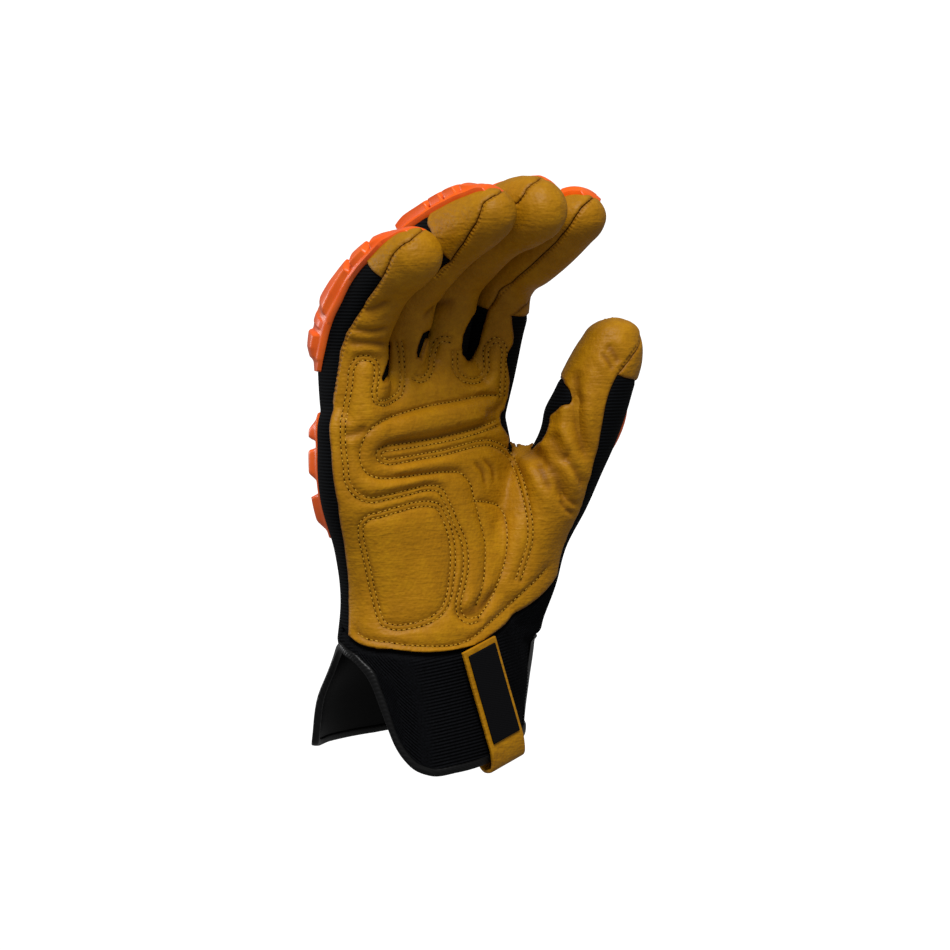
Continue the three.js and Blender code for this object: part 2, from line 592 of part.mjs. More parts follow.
// A rubber guard: a thin web with raised blocks whose sides slope, over a frame that changes along it.
function guard(frameAt, plan, stations, draft) {
  const blockEnds = plan.blocks.flatMap(([from, to]) => [from, from + draft, to - draft, to]);
  const inside = (place) => place > plan.ends[0] && place < plan.ends[1]
    && blockEnds.every((end) => Math.abs(end - place) > draft / 2);
  const places = [...plan.ends, ...blockEnds, ...stations.filter(inside)].sort((a, b) => a - b);
  const onBlock = (spans, value) => spans.some((span) => value > span[0] && value < span.at(-1));
  const at = (share, place, grow) => {
    const side = (column) => between(plan.span, 'place', place, column);
    return onSection(frameAt(place), THREE.MathUtils.lerp(side('from'), side('to'), share), 1, grow);
  };
  const top = (share, place) => at(
    share, place, onBlock(plan.columns, share) && onBlock(plan.blocks, place) ? plan.rise : guardBase);
  return sheet([...new Set(plan.columns.flat())], places, top, (share, place) => at(share, place, guardLift));
}

const fingerStations = fingerRows.map((row) => row.share);
for (const finger of fingers) {
  const plan = finger.name === 'pinky' ? pinkyGuard : fingerGuard;
  const made = guard((share) => fingerFrame(finger, share), plan, fingerStations, fingerDraft);
  add(`guard_${finger.name}`, made, colours.rubber, 0.45);
}
const levelGuard = (rows, plan) => guard((z) => levelFrame(rows, z), plan, rows.map((row) => row.z), levelDraft);
add('guard_back', levelGuard(palmRows, backGuard), colours.rubber, 0.45);
add('guard_thumb', levelGuard(thumbRows, thumbGuard), colours.rubber, 0.45);

// A strip bent along a line in the side view, leaning towards the thumb as it goes down.
function strip({ line, thick, width }) {
  const curve = new THREE.CatmullRomCurve3(line.map(([y, z]) => new THREE.Vector3(y, z - tab.top, 0)));
  const count = (line.length - 1) * 3;
  const sides = [1, -1].map((side) => Array.from({ length: count + 1 }, (_, i) => {
    const at = curve.getPoint(i / count);
    const along = curve.getTangent(i / count);
    return new THREE.Vector2(at.x - (along.y * side * thick) / 2, at.y + (along.x * side * thick) / 2);
  }));
  const outline = new THREE.Shape([...sides[0], ...sides[1].reverse()]);
  const geometry = new THREE.ExtrudeGeometry(outline, { depth: width, bevelEnabled: false });
  geometry.translate(0, 0, -width / 2);
  const place = geometry.attributes.position;
  for (let i = 0; i < place.count; i++) place.setXYZ(i, place.getZ(i), place.getX(i), place.getY(i));
  geometry.rotateY(radians(-tab.lean));
  geometry.translate(tab.x, 0, tab.top);
  return solid(geometry);
}

add('pull_tab', strip(tab), colours.leather, 0.6);
add('label', strip(label), colours.patch, 0.7);

export default glove;
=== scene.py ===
import json
import math
import bmesh
import bpy
import numpy as np
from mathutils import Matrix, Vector
from mathutils.bvhtree import BVHTree
from mathutils.kdtree import KDTree

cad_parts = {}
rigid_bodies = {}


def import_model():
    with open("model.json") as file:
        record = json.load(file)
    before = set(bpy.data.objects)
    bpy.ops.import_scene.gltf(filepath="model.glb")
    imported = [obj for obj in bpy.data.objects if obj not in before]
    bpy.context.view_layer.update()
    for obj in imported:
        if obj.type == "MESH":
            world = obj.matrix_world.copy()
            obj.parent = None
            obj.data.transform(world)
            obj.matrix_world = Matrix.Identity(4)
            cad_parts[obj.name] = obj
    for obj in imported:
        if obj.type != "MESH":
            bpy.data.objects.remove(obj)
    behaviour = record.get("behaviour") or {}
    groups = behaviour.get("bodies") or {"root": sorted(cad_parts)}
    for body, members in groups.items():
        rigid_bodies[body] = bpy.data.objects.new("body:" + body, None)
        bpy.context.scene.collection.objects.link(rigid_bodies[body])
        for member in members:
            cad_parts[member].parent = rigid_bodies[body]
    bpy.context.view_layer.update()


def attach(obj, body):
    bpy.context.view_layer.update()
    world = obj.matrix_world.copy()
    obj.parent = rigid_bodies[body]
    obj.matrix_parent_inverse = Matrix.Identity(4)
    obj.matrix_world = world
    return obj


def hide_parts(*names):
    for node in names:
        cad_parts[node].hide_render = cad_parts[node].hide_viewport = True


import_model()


# The camera stands in front of the palm, well to its little-finger side and a little above, as in the
# photo. Every size in this file is in millimetres until it is written into a mesh, which is in metres.
MM = 0.001
photo_middle = 475
pixels_per_unit = 3500
azimuth = math.radians(-44)
elevation = math.radians(4)
towards_camera = Vector(
    (
        math.sin(azimuth) * math.cos(elevation),
        -math.cos(azimuth) * math.cos(elevation),
        math.sin(elevation),
    )
)
picture_right = Vector((math.cos(azimuth), math.sin(azimuth), 0))
picture_up = towards_camera.cross(picture_right)
looks_at_right, looks_at_height, stands_off = 20, 112, 1400
eye = picture_right * looks_at_right + picture_up * looks_at_height + towards_camera * stands_off
pixel_size = stands_off / pixels_per_unit
bpy.ops.object.camera_add(location=eye * MM)
camera = bpy.context.object
camera.rotation_euler = towards_camera.to_track_quat("Z", "Y").to_euler()
sensor_width = 36
camera.data.sensor_width = sensor_width
camera.data.lens = sensor_width * pixels_per_unit / (2 * photo_middle)
camera.data.clip_start = 0.05
camera.data.clip_end = 30
bpy.context.scene.camera = camera


def line_of_sight(pixel):
    """The direction from the camera through a pixel of the photo."""
    across = (pixel[0] - photo_middle) / pixels_per_unit
    rise = (photo_middle - pixel[1]) / pixels_per_unit
    return (picture_right * across + picture_up * rise - towards_camera).normalized()


# The glove is drawn over the form of a relaxed hand: the palm, the web of the thumb, the thumb and four
# fingers are tubes with oval sections, welded and smoothed into one skin, as leather and knit stretch
# over the joins. The panels are cut out of this skin later.
# Palm levels: height, centre x and y, half width, half depth, and how far the sides curl to the front.
palm_rows = [
    (-16, 2, 1, 44, 32, 0),
    (8, 3, 1, 44, 31.5, 0),
    (28, 4.5, 1, 46.4, 30, 0),
    (46, 6.5, 0, 47.4, 28.5, 0),
    (64, 5.9, 0, 46, 26.5, 1),
    (84, -0.2, 0, 45.4, 24, 3),
    (104, -6.5, 0, 48.4, 22, 4.5),
    (124, -9.1, 1, 48.5, 20.5, 6.5),
    (140, -9.7, 1, 45.4, 19.5, 6.5),
    (148, -4, 1, 41.5, 18.5, 5),
    (156, 1, 1, 34, 15.5, 2),
    (163, 3, 1, 25, 11, 0),
    (168, 2.5, 1, 5, 2, 0),
]
# Thumb levels: height, centre x and y, half width, half depth.
thumb_rows = [
    (40, 26.6, -3.5, 16, 14),
    (46, 30.1, -5.8, 21.6, 18),
    (52, 30.8, -6.1, 22.9, 19.1),
    (66, 32.7, -10.7, 24, 19),
    (82, 37, -15, 21.5, 18),
    (98, 43.9, -21.4, 19.1, 18),
    (113, 48.1, -26.7, 18.4, 18.2),
    (122, 51.4, -31.5, 16.3, 16.8),
    (131, 53.1, -35.2, 16.1, 16.2),
    (138, 53.9, -37, 16.8, 16.6),
    (145, 55.4, -39.4, 16.1, 15.6),
    (158, 58.6, -43.1, 14.8, 14.3),
    (166, 59.5, -45.3, 12.1, 11.6),
    (173, 60, -46.5, 6.5, 6),
    (175, 60, -46.7, 1, 1),
]
# Web levels: height, centre x and y, half length, half thickness. They are turned towards the thumb.
web_rows = [
    (62, 32, -9, 14, 12),
    (84, 36, -13, 18, 12),
    (104, 41, -16, 18, 9.5),
    (115, 43, -18, 17, 7),
    (119.9, 42.1, -15.4, 13.2, 4.5),
    (123.4, 41.8, -14.9, 7.4, 1),
]
web_turn = -62
# Fingers: where the knuckle is, the lean to the thumb side, the lengths of the bones, the bend at each
# joint, the width and depth, and how far the finger is held aside while the form is welded.
fingers = {
    "index": dict(
        knuckle=(25.5, -3, 138), lean=3, bones=(48, 32.5, 30.1), bends=(12, 37.3, 18.9),
        width=24, depth=26.5, tip_depth=22.8, aside=3.4,
    ),
    "middle": dict(
        knuckle=(2.2, 1, 142), lean=1, bones=(50, 34.8, 33.2), bends=(13, 40.6, 22),
        width=23, depth=26.5, tip_depth=29.5, aside=0.4,
    ),
    "ring": dict(
        knuckle=(-20.5, 1, 140), lean=1, bones=(47, 33.6, 32.5), bends=(12, 43.1, 9.3),
        width=22, depth=26.5, tip_depth=24.4, aside=-2.6,
    ),
    "pinky": dict(
        knuckle=(-41.6, -5.5, 131.4), lean=-2.1, bones=(39.4, 27.2, 30.1), bends=(-3, 48.2, 18.4),
        width=24.3, depth=29.2, tip_depth=24.8, aside=-5.6,
    ),
}
# A finger's places are shares of its length from the knuckle. It starts inside the palm, and it is held
# aside past its root. A joint bends over a stretch on both sides of it.
finger_start, finger_end = -0.2, 1.004
root_ends = (0.1, 0.34)
tip_narrows = (0.4, 0.8)
joint_stretch = 12
# The backs of the ring and middle fingers stand up over a joint, and the forefinger's front is full behind
# its tip: share of the length, and height.
joint_rows = {
    "ring": [(0.4, 0), (0.5, 2.4), (0.58, 4.2), (0.68, 3), (0.8, 1.5), (0.9, 0), (1.1, 0)],
    "middle": [(0.6, 0), (0.72, 0.8), (0.82, 1.3), (0.9, 0.6), (0.95, -0.6), (1, -1), (1.1, -1)],
    "index": [
        (0.1, 0), (0.22, 0.4), (0.3, 0.9), (0.36, 1.5), (0.42, 0.4), (0.48, -2.1), (0.54, -2), (0.6, 0.9),
        (0.68, 3), (0.77, 3.3), (0.88, 0.7), (0.96, 0.1), (1.1, 0),
    ],
}
# A finger's outline: share of its length, and shares of its width and depth.
outline_rows = [
    (-0.2, 0.8, 0.72),
    (0.1, 1, 1.01),
    (0.34, 1, 1),
    (0.47, 1.01, 1),
    (0.61, 0.98, 0.95),
    (0.76, 0.98, 0.92),
    (0.88, 0.94, 0.87),
    (0.95, 0.78, 0.71),
    (0.99, 0.42, 0.38),
    (1.004, 0.05, 0.05),
]


def smooth(rows, at, column):
    """A column of a table between its rows, as a smooth line through them."""
    rows = np.asarray(rows, float)
    place = rows[:, 0]
    value = rows[:, column]
    slope = np.gradient(value, place)
    at = np.clip(at, place[0], place[-1])
    i = np.clip(np.searchsorted(place, at) - 1, 0, len(place) - 2)
    width = place[i + 1] - place[i]
    s = (at - place[i]) / width
    return (
        value[i] * (2 * s**3 - 3 * s**2 + 1)
        + value[i + 1] * (3 * s**2 - 2 * s**3)
        + width * slope[i] * (s**3 - 2 * s**2 + s)
        + width * slope[i + 1] * (s**3 - s**2)
    )


def straight(rows, at, column):
    """A column of a table between its rows, in straight lines."""
    rows = np.asarray(rows, float)
    return np.interp(at, rows[:, 0], rows[:, column])


def level_sections(rows, at, turn=0):
    """Centres, directions and half sizes of the oval sections of an upright form."""
    c, s = math.cos(math.radians(turn)), math.sin(math.radians(turn))
    centre = np.stack([smooth(rows, at, 1), smooth(rows, at, 2), at], -1)
    across = np.broadcast_to((c, s, 0.0), centre.shape)
    back = np.broadcast_to((-s, c, 0.0), centre.shape)
    curl = smooth(rows, at, 5) if rows is palm_rows else np.zeros_like(at)
    return centre, across, back, smooth(rows, at, 3), smooth(rows, at, 4), curl


def ease(low, high, at):
    """0 below a range, 1 above it, and a smooth step between."""
    s = np.clip((at - low) / (high - low), 0, 1)
    return s * s * (3 - 2 * s)


def finger_sections(name, shares, aside=0.0):
    """The same for a finger, whose middle line bends at each joint."""
    plan = fingers[name]
    bones, depth = plan["bones"], plan["depth"]
    depth = depth + (plan["tip_depth"] - depth) * ease(*tip_narrows, shares)
    lean = math.radians(plan["lean"])
    along = np.array((math.sin(lean), 0, math.cos(lean)))
    across = np.array((math.cos(lean), 0, -math.sin(lean)))
    joints = np.cumsum((0, *bones[:2]))
    step = 0.5
    line = np.arange(finger_start * sum(bones), 1.02 * sum(bones), step)
    turn = np.zeros(len(line))
    for bend, joint in zip(plan["bends"], joints):
        turn = turn + np.radians(bend) * ease(joint - joint_stretch, joint + joint_stretch, line + step / 2)
    steps = step * (np.cos(turn)[:, None] * along - np.sin(turn)[:, None] * np.array((0, 1, 0)))
    points = np.array(plan["knuckle"]) + along * line[0] + np.cumsum(steps, 0) - steps
    at = shares * sum(bones)
    centre = np.stack([np.interp(at, line, points[:, k]) for k in range(3)], -1)
    centre[:, 0] += aside * ease(*root_ends, shares)
    turn = np.interp(at, line, turn)[:, None]
    back = along * np.sin(turn) + np.array((0, 1, 0)) * np.cos(turn)
    half_width = smooth(outline_rows, shares, 1) * plan["width"] / 2
    half_depth = smooth(outline_rows, shares, 2) * depth / 2
    if name in joint_rows:
        lift = smooth(joint_rows[name], shares, 1) / 2
        half_depth = half_depth + lift
        centre = centre + back * lift[:, None] * (-1 if name == "index" else 1)
    return centre, np.broadcast_to(across, centre.shape), back, half_width, half_depth, 0 * at


def on_section(section, angles, grow=0.0):
    """Points on sections, or off them: angle 0 is the palm side, 90 the thumb side and 180 the back."""
    centre, across, back, half_width, half_depth, curl = section
    turn = np.radians(angles)
    sideways = np.sin(turn) * (half_width + grow)
    through = -np.cos(turn) * (half_depth + grow) - curl * np.sin(turn) ** 2
    return centre + across * sideways[..., None] + back * through[..., None]


def get_points(mesh):
    """The points of a mesh, in millimetres."""
    points = np.empty(len(mesh.vertices) * 3)
    mesh.vertices.foreach_get("co", points)
    return points.reshape(-1, 3) / MM


def set_points(mesh, points):
    """Moves the points of a mesh to places in millimetres."""
    mesh.vertices.foreach_set("co", (points * MM).ravel())
    mesh.update()


def tube(name, section, low, high, rings, sides=48):
    """A ball, drawn out so that its rings become the sections of a form between two places."""
    bpy.ops.mesh.primitive_uv_sphere_add(segments=sides, ring_count=rings, radius=MM)
    made = bpy.context.object
    made.name = name
    ball = get_points(made.data)
    place = low + (high - low) * np.arccos(np.clip(-ball[:, 2], -1, 1)) / math.pi
    angle = np.degrees(np.arctan2(ball[:, 0], -ball[:, 1]))
    points = on_section(section(place), angle)
    pole = np.abs(ball[:, 2]) > 0.99999
    points[pole] = section(place)[0][pole]
    set_points(made.data, points)
    return made


bpy.ops.object.select_all(action="DESELECT")
forms = [
    tube("palm_form", lambda z: level_sections(palm_rows, z), 20, 168, 74, 96),
    tube("thumb_form", lambda z: level_sections(thumb_rows, z), 40, 175, 68, 56),
    tube("web_form", lambda z: level_sections(web_rows, z, web_turn), 62, 123.4, 36, 40),
]
for name, plan in fingers.items():
    forms.append(
        tube(
            f"{name}_form",
            lambda share, name=name, aside=plan["aside"]: finger_sections(name, share, aside),
            finger_start,
            finger_end,
            72,
        )
    )
for form in forms:
    form.select_set(True)
bpy.context.view_layer.objects.active = forms[0]
bpy.ops.object.join()
hand = bpy.context.object
hand.name = "hand_form"


def apply(made, kind, **settings):
    """Adds a modifier to a piece and applies it."""
    bpy.context.view_layer.objects.active = made
    modifier = made.modifiers.new(kind, kind)
    for key, value in settings.items():
        setattr(modifier, key, value)
    bpy.ops.object.modifier_apply(modifier=modifier.name)


skin_step = 1.3
apply(hand, "REMESH", mode="VOXEL", voxel_size=skin_step * MM)
apply(hand, "SMOOTH", factor=0.5, iterations=5)


def find_on_levels(rows, points, turn=0):
    """Where points lie on an upright form: place along it, angle round it, distance off it, and radius."""
    place = np.clip(points[:, 2], rows[0][0], rows[-1][0])
    centre, across, back, half_width, half_depth, curl = level_sections(rows, place, turn)
    offset = points - centre
    sideways = (offset * across).sum(1)
    through = (offset * back).sum(1)
    angle = np.arctan2(sideways / half_width, -through / half_depth)
    through = through + curl * np.sin(angle) ** 2
    angle = np.arctan2(sideways / half_width, -through / half_depth)
    ratio = np.hypot(sideways / half_width, through / half_depth)
    off = np.hypot(sideways, through) * (1 - 1 / np.maximum(ratio, 0.05))
    off = np.where(points[:, 2] == place, off, np.maximum(off, np.abs(points[:, 2] - place)))
    return place, np.degrees(angle), off, (half_width + half_depth) / 2


def find_on_finger(name, points, aside=0.0):
    """The same on a finger, whose place is a share of its length."""
    stations = np.linspace(finger_start, finger_end, 150)
    centre, across, back, half_width, half_depth, _ = finger_sections(name, stations, aside)
    tree = KDTree(len(centre))
    for i, c in enumerate(centre):
        tree.insert(c, i)
    tree.balance()
    near = np.array([tree.find(p)[1] for p in points])
    offset = points - centre[near]
    sideways = (offset * across[near]).sum(1)
    through = (offset * back[near]).sum(1)
    forward = (offset * np.cross(across[near], back[near])).sum(1)
    place = stations[near] + forward / sum(fingers[name]["bones"])
    half_width, half_depth = half_width[near], half_depth[near]
    angle = np.arctan2(sideways / half_width, -through / half_depth)
    ratio = np.hypot(sideways / half_width, through / half_depth)
    off = np.hypot(sideways, through) * (1 - 1 / np.maximum(ratio, 0.05))
    off = np.where(near == 0, np.maximum(off, 4), off)
    off = np.where(near == len(stations) - 1, np.linalg.norm(offset, axis=1), off)
    return place, np.degrees(angle), off, (half_width + half_depth) / 2


def find_on_forms(points, aside=0.0):
    """The same on every form."""
    found = {
        "palm": find_on_levels(palm_rows, points),
        "thumb": find_on_levels(thumb_rows, points),
        "web": find_on_levels(web_rows, points, web_turn),
    }
    for name, plan in fingers.items():
        found[name] = find_on_finger(name, points, aside * plan["aside"])
    return found


# The fingers go back from where they were held while the form was welded.
skin = get_points(hand.data)
found = find_on_forms(skin, 1.0)
nearest = np.array([f[2] for f in found.values()]).argmin(0)
for index, (name, (place, angle, off, radius)) in enumerate(found.items()):
    if name in fingers:
        own = nearest == index
        skin[own, 0] -= fingers[name]["aside"] * ease(*root_ends, place[own])
set_points(hand.data, skin)


# The glove is sewn from panels: one of leather for the whole palm side, five leather caps for the backs of
# the fingertips, and one of knit for the back. Each is cut out of the skin along its seams, and the leather
# is what lies inside the seams of the forms.
# Seams at heights of the palm and of the thumb, and at shares of the fingers: place, left, right.
palm_seams = [
    (40, -89, 92),
    (64, -93, 76),
    (84, -87.5, 52),
    (104, -76.5, 50),
    (124, -78.2, 56),
    (140, -81.5, 62),
    (170, -85, 66),
]
thumb_seams = [
    (40, -150, 90),
    (52, -150, 60),
    (66, -150, 34),
    (82, -150, 23.5),
    (98, -150, 15),
    (113, -150, 3),
    (121, -150, -8),
    (125, -98, -13),
    (131, -100, -16),
    (135.5, -102.5, -18),
    (138, -90.5, -19),
    (141, -73.5, -20.5),
    (144, -78.5, -21),
    (147, -88, -21),
    (150, -109, -20),
    (152, -150, -19),
    (156, -150, -10),
    (160, -150, 2),
    (164, -150, 22.5),
    (168, -150, 48),
    (175, -150, 90),
]
finger_seams = {
    "index": [
        (-0.22, -80, 50),
        (0.11, -78, 50),
        (0.17, -74, 12),
        (0.25, -65, 4),
        (0.38, -62, 4),
        (0.43, -55, 22),
        (0.49, -49, 50),
        (0.53, -45, 72),
        (0.7, -37, 84),
        (0.84, -50, 92),
        (1.02, -80, 98),
    ],
    "middle": [
        (-0.22, -80, 76),
        (0.13, -76, 70),
        (0.17, -74, 42),
        (0.3, -68, 42),
        (0.36, -66, 66),
        (0.6, -52, 78),
        (0.75, -66, 84),
        (0.88, -96, 92),
        (1.02, -112, 98),
    ],
    "ring": [
        (-0.22, -80, 76),
        (0.15, -80, 70),
        (0.2, -78, 42),
        (0.31, -72, 42),
        (0.37, -66, 66),
        (0.54, -44, 78),
        (0.63, -35, 80),
        (0.76, -38, 86),
        (1.02, -70, 98),
    ],
    "pinky": [
        (-0.22, -94, 76),
        (0.13, -83, 76),
        (0.3, -66, 77),
        (0.45, -58, 78),
        (0.8, -66, 92),
        (1.02, -80, 98),
    ],
}
# Towards the fingertips the left seams are drawn as they are seen, in pixels, and end over the tips.
tip_seams = {
    "index": [
        (470, 327), (487, 308.5), (500, 293.2), (513.8, 280.3), (529.3, 267.4), (543, 254.5),
        (556.8, 241.6), (562, 234.7), (565.8, 230.8), (570.6, 224.4), (575.3, 216.2), (578.7, 211.5),
        (581.3, 207.6), (586, 203.3), (590.8, 199.4), (594, 197), (600, 192),
    ],
    "middle": [
        (490, 236), (505, 217), (516.7, 202.5), (519.9, 198.5), (523.9, 193.7), (527, 188.1),
        (531.8, 184.1), (537.4, 180.9), (540, 178.5), (545, 172),
    ],
    "ring": [
        (420, 293), (436, 275.8), (442.5, 269.4), (450.5, 261.5), (453.7, 256.7), (458.5, 249.5),
        (464, 242.3), (468, 235.2), (472, 228.8), (476, 223.2), (478.4, 216.8), (480.5, 211.2),
        (481.6, 206.5), (483.2, 202.5), (488, 199.3), (492.8, 196.1), (497.6, 194.6), (501.5, 191.5),
        (505, 186),
    ],
    "pinky": [
        (331.3, 420), (332.1, 411.3), (332.9, 402.4), (334.4, 390.9), (335.7, 380.7), (337.6, 370.5),
        (339.5, 360.3), (342.1, 351.4), (344, 343.7), (347.2, 333.5), (351, 327.1), (354.8, 320.8),
        (360, 311.8), (365, 302.9), (371.4, 294), (376.5, 286.3), (381, 279.3), (384.3, 273.5),
        (387.8, 265.8), (390.3, 258.9), (394.6, 252), (399, 247.7), (403.7, 243.8), (409.3, 241.2),
        (414.5, 236.5), (421.3, 231.3), (430, 224),
    ],
}
# Shares of the length between which the drawn seams take over.
tip_starts = {"index": (0.5, 0.6), "middle": (0.88, 0.93), "ring": (0.64, 0.72), "pinky": (0.3, 0.4)}
# The lower edges of the fingertips' caps: angle, and share of the length.
cap_rows = {
    "index": [(-180, 0.385), (180, 0.385)],
    "middle": [(-180, 0.6), (180, 0.6)],
    "ring": [(-180, 0.7), (-119, 0.7), (-103, 0.712), (180, 0.712)],
    "pinky": [(-180, 0.73), (-111, 0.752), (-90, 0.771), (-67, 0.798), (180, 0.798)],
}
# The lower edge of the thumb's cap: angle and height.
thumb_cap_rows = [(-180, 150), (-20, 152.4), (0, 150.8), (40, 149.4), (180, 148)]
# Between the roots of the fingers, and where the leather ends beside the forefinger, the black knit shows
# through openings of the leather. Their outlines are drawn as the photo shows them, in pixels.
root_openings = {
    "forefinger gap": [
        (485.4, 312.4), (483, 323), (481.7, 330), (478.8, 341.4), (477, 348), (473.8, 356), (469.7, 362),
        (466.3, 361), (462, 354), (461.4, 344), (462.2, 335), (465.5, 326.5), (470.5, 318), (476, 310),
    ],
    "middle gap": [
        (430, 331), (428.6, 334.8), (426.5, 339.8), (424, 346.4), (422, 353), (420, 358), (416.6, 357.2),
        (415.8, 353), (417, 346.4), (419.5, 339), (422, 333), (428.2, 329.8),
    ],
    "small gap": [
        (390.5, 338), (388, 347), (386.2, 360), (384, 371), (382, 378), (382.5, 381.5), (385, 382),
        (387.4, 378), (388.7, 370), (389.4, 360), (390, 350),
    ],
}
side_opening = [
    (511, 316.5), (511.5, 325), (513, 336), (512.4, 344), (508.6, 353), (507.4, 360.5), (508.6, 371),
    (509.5, 381), (507.8, 397), (502.8, 408.6), (499.5, 412), (498.5, 417), (501, 426), (505.5, 434),
    (510, 440.5), (517, 448), (519, 440), (522, 400), (560, 330), (560, 290), (537, 297), (524, 305.5),
]
# The palm leather's bottom edge: its height at each angle round the wrist.
palm_edge_rows = [
    (-180, 53),
    (-94, 53),
    (-86, 51),
    (-79, 49),
    (-56, 46.8),
    (-34, 45.3),
    (-18, 45.7),
    (-5, 47),
    (9, 50.5),
    (27, 57),
    (36, 63),
    (46, 72),
    (60, 84),
    (80, 95),
    (100, 104),
    (140, 104),
    (180, 53),
]
# The oval of the wrist, the angles between which its ribbed panel lies, and where the back's knit ends.
wrist_middle = np.array((4, 1))
wrist_half_width, wrist_half_depth = 44, 31
wrist_per_degree = 0.65
wrist_ends = 110
front_panel = (-102, 50)
back_edge = 47
# How near the forms have to be for their seams to blend, how far a seam counts, and how near the skin has
# to be to a finger to belong to its cap.
seam_blend, seam_counts, cap_nearness = 0.8, 4, 2.5
# The leather's edges on the web of the thumb. Over its top the leather reaches round to its back.
web_seam, web_seam_over_top, web_top = 96, 42, (112, 119)
# The side of a drawn seam that the cap is on reaches up to here in the picture, and this far to the left.
cap_side_top, cap_side_left = 130, 90


def wrist_angle(points):
    """The angle round the wrist, as a share of the glove's oval mouth."""
    offset = points[:, :2] - wrist_middle
    return np.degrees(np.arctan2(offset[:, 0] / wrist_half_width, -offset[:, 1] / wrist_half_depth))


def picture_of(points):
    """Pixels of the photo at which points are seen."""
    offset = points - np.array(eye)
    away = -(offset @ np.array(towards_camera))
    across = offset @ np.array(picture_right) / away
    rise = offset @ np.array(picture_up) / away
    return np.stack([photo_middle + pixels_per_unit * across, photo_middle - pixels_per_unit * rise], -1)


def inside_outline(points, outline):
    """Millimetres inside an outline of pixels, or outside it where it is negative."""
    seen = picture_of(points)
    starts = np.asarray(outline, float)
    ends = np.roll(starts, -1, axis=0)
    distance = np.full(len(seen), 1e9)
    inside = np.zeros(len(seen), bool)
    for a, b in zip(starts, ends):
        share = np.clip(((seen - a) @ (b - a)) / ((b - a) @ (b - a)), 0, 1)
        distance = np.minimum(distance, np.linalg.norm(seen - a - share[:, None] * (b - a), axis=1))
        spans = (a[1] > seen[:, 1]) != (b[1] > seen[:, 1])
        rise = b[1] - a[1] if b[1] != a[1] else 1.0
        inside ^= spans & (seen[:, 0] < a[0] + (b[0] - a[0]) * (seen[:, 1] - a[1]) / rise)
    return np.where(inside, 1, -1) * distance * pixel_size


def leather_field(points, found):
    """Millimetres inside the seams of the leather, or outside them where it is negative."""
    nearest_off = np.array([f[2] for f in found.values()]).min(0)
    total, weights = np.zeros(len(points)), np.zeros(len(points))
    for name, (place, angle, off, radius) in found.items():
        if name == "web":
            right = web_seam + web_seam_over_top * ease(*web_top, place)
            left = -right
        else:
            rows = {"palm": palm_seams, "thumb": thumb_seams}.get(name) or finger_seams[name]
            left, right = straight(rows, place, 1), straight(rows, place, 2)
        on_left = (angle - left) * math.pi / 180 * radius
        on_right = (right - angle) * math.pi / 180 * radius
        if name in tip_seams:
            line = tip_seams[name]
            left_of_it = line[0][0] - cap_side_left
            corners = [(line[-1][0], cap_side_top), (left_of_it, cap_side_top), (left_of_it, line[0][1])]
            cap_side = [*line, *corners]
            drawn = ease(*tip_starts[name], place)
            on_left = on_left + (-inside_outline(points, cap_side) - on_left) * drawn
            on_right = on_right + 30 * ease(0.8, 0.92, place)
        inside = np.minimum(on_left, on_right)
        weight = np.exp(-(off - nearest_off) / seam_blend)
        total += weight * np.clip(inside, -seam_counts, seam_counts)
        weights += weight
    field = total / weights
    for outline in (*root_openings.values(), side_opening):
        field = np.minimum(field, -inside_outline(points, outline))
    above_palm_edge, _, in_front = edge_fields(points)
    on_back_of_wrist = (in_front < 0) & (points[:, 2] < wrist_ends)
    return np.where(on_back_of_wrist, np.minimum(field, above_palm_edge), field)


def cap_field(points, found, name):
    """Millimetres past the edge of a fingertip's cap."""
    nearest_off = np.array([f[2] for f in found.values()]).min(0)
    place, angle, off, radius = found[name]
    if name == "thumb":
        past = place - straight(thumb_cap_rows, angle, 1)
    else:
        past = (place - straight(cap_rows[name], angle, 1)) * sum(fingers[name]["bones"])
    return np.minimum(past, cap_nearness - (off - nearest_off))


def edge_fields(points):
    """Millimetres above the palm leather's bottom edge, above the back knit's edge, and inside the
    ends of the ribbed panel."""
    angle = wrist_angle(points)
    above_palm_edge = points[:, 2] - smooth(palm_edge_rows, angle, 1)
    in_front = np.minimum(angle - front_panel[0], front_panel[1] - angle) * wrist_per_degree
    in_front = np.where(points[:, 2] > wrist_ends, 40, in_front)
    return above_palm_edge, points[:, 2] - back_edge, in_front


def cut_skin(made, field):
    """Cuts the faces of a piece along the line where a field of its points changes sign."""
    points = get_points(made.data)
    value = field(points)
    mesh = bmesh.new()
    mesh.from_mesh(made.data)
    mesh.verts.ensure_lookup_table()
    worth = {v: value[v.index] or 1e-6 for v in mesh.verts}
    on_line = set()
    for edge in mesh.edges:
        a, b = edge.verts
        if worth[a] * worth[b] < 0 and a not in on_line and b not in on_line:
            share = worth[a] / (worth[a] - worth[b])
            if share < 0.3:
                a.co = a.co.lerp(b.co, share)
                on_line.add(a)
            elif share > 0.7:
                b.co = b.co.lerp(a.co, 1 - share)
                on_line.add(b)
    for v in on_line:
        worth[v] = 0
    crossed = [e for e in mesh.edges if worth[e.verts[0]] * worth[e.verts[1]] < 0]
    for edge in crossed:
        a, b = edge.verts
        share = worth[a] / (worth[a] - worth[b])
        _, new = bmesh.utils.edge_split(edge, a, share)
        worth[new] = 0
        on_line.add(new)
    for face in list(mesh.faces):
        ends = [v for v in face.verts if worth[v] == 0]
        signs = {worth[v] > 0 for v in face.verts if worth[v] != 0}
        if len(signs) == 2 and len(ends) == 2:
            bmesh.utils.face_split(face, ends[0], ends[1])
    bmesh.ops.triangulate(mesh, faces=[f for f in mesh.faces if len(f.verts) > 4])
    mesh.to_mesh(made.data)
    mesh.free()


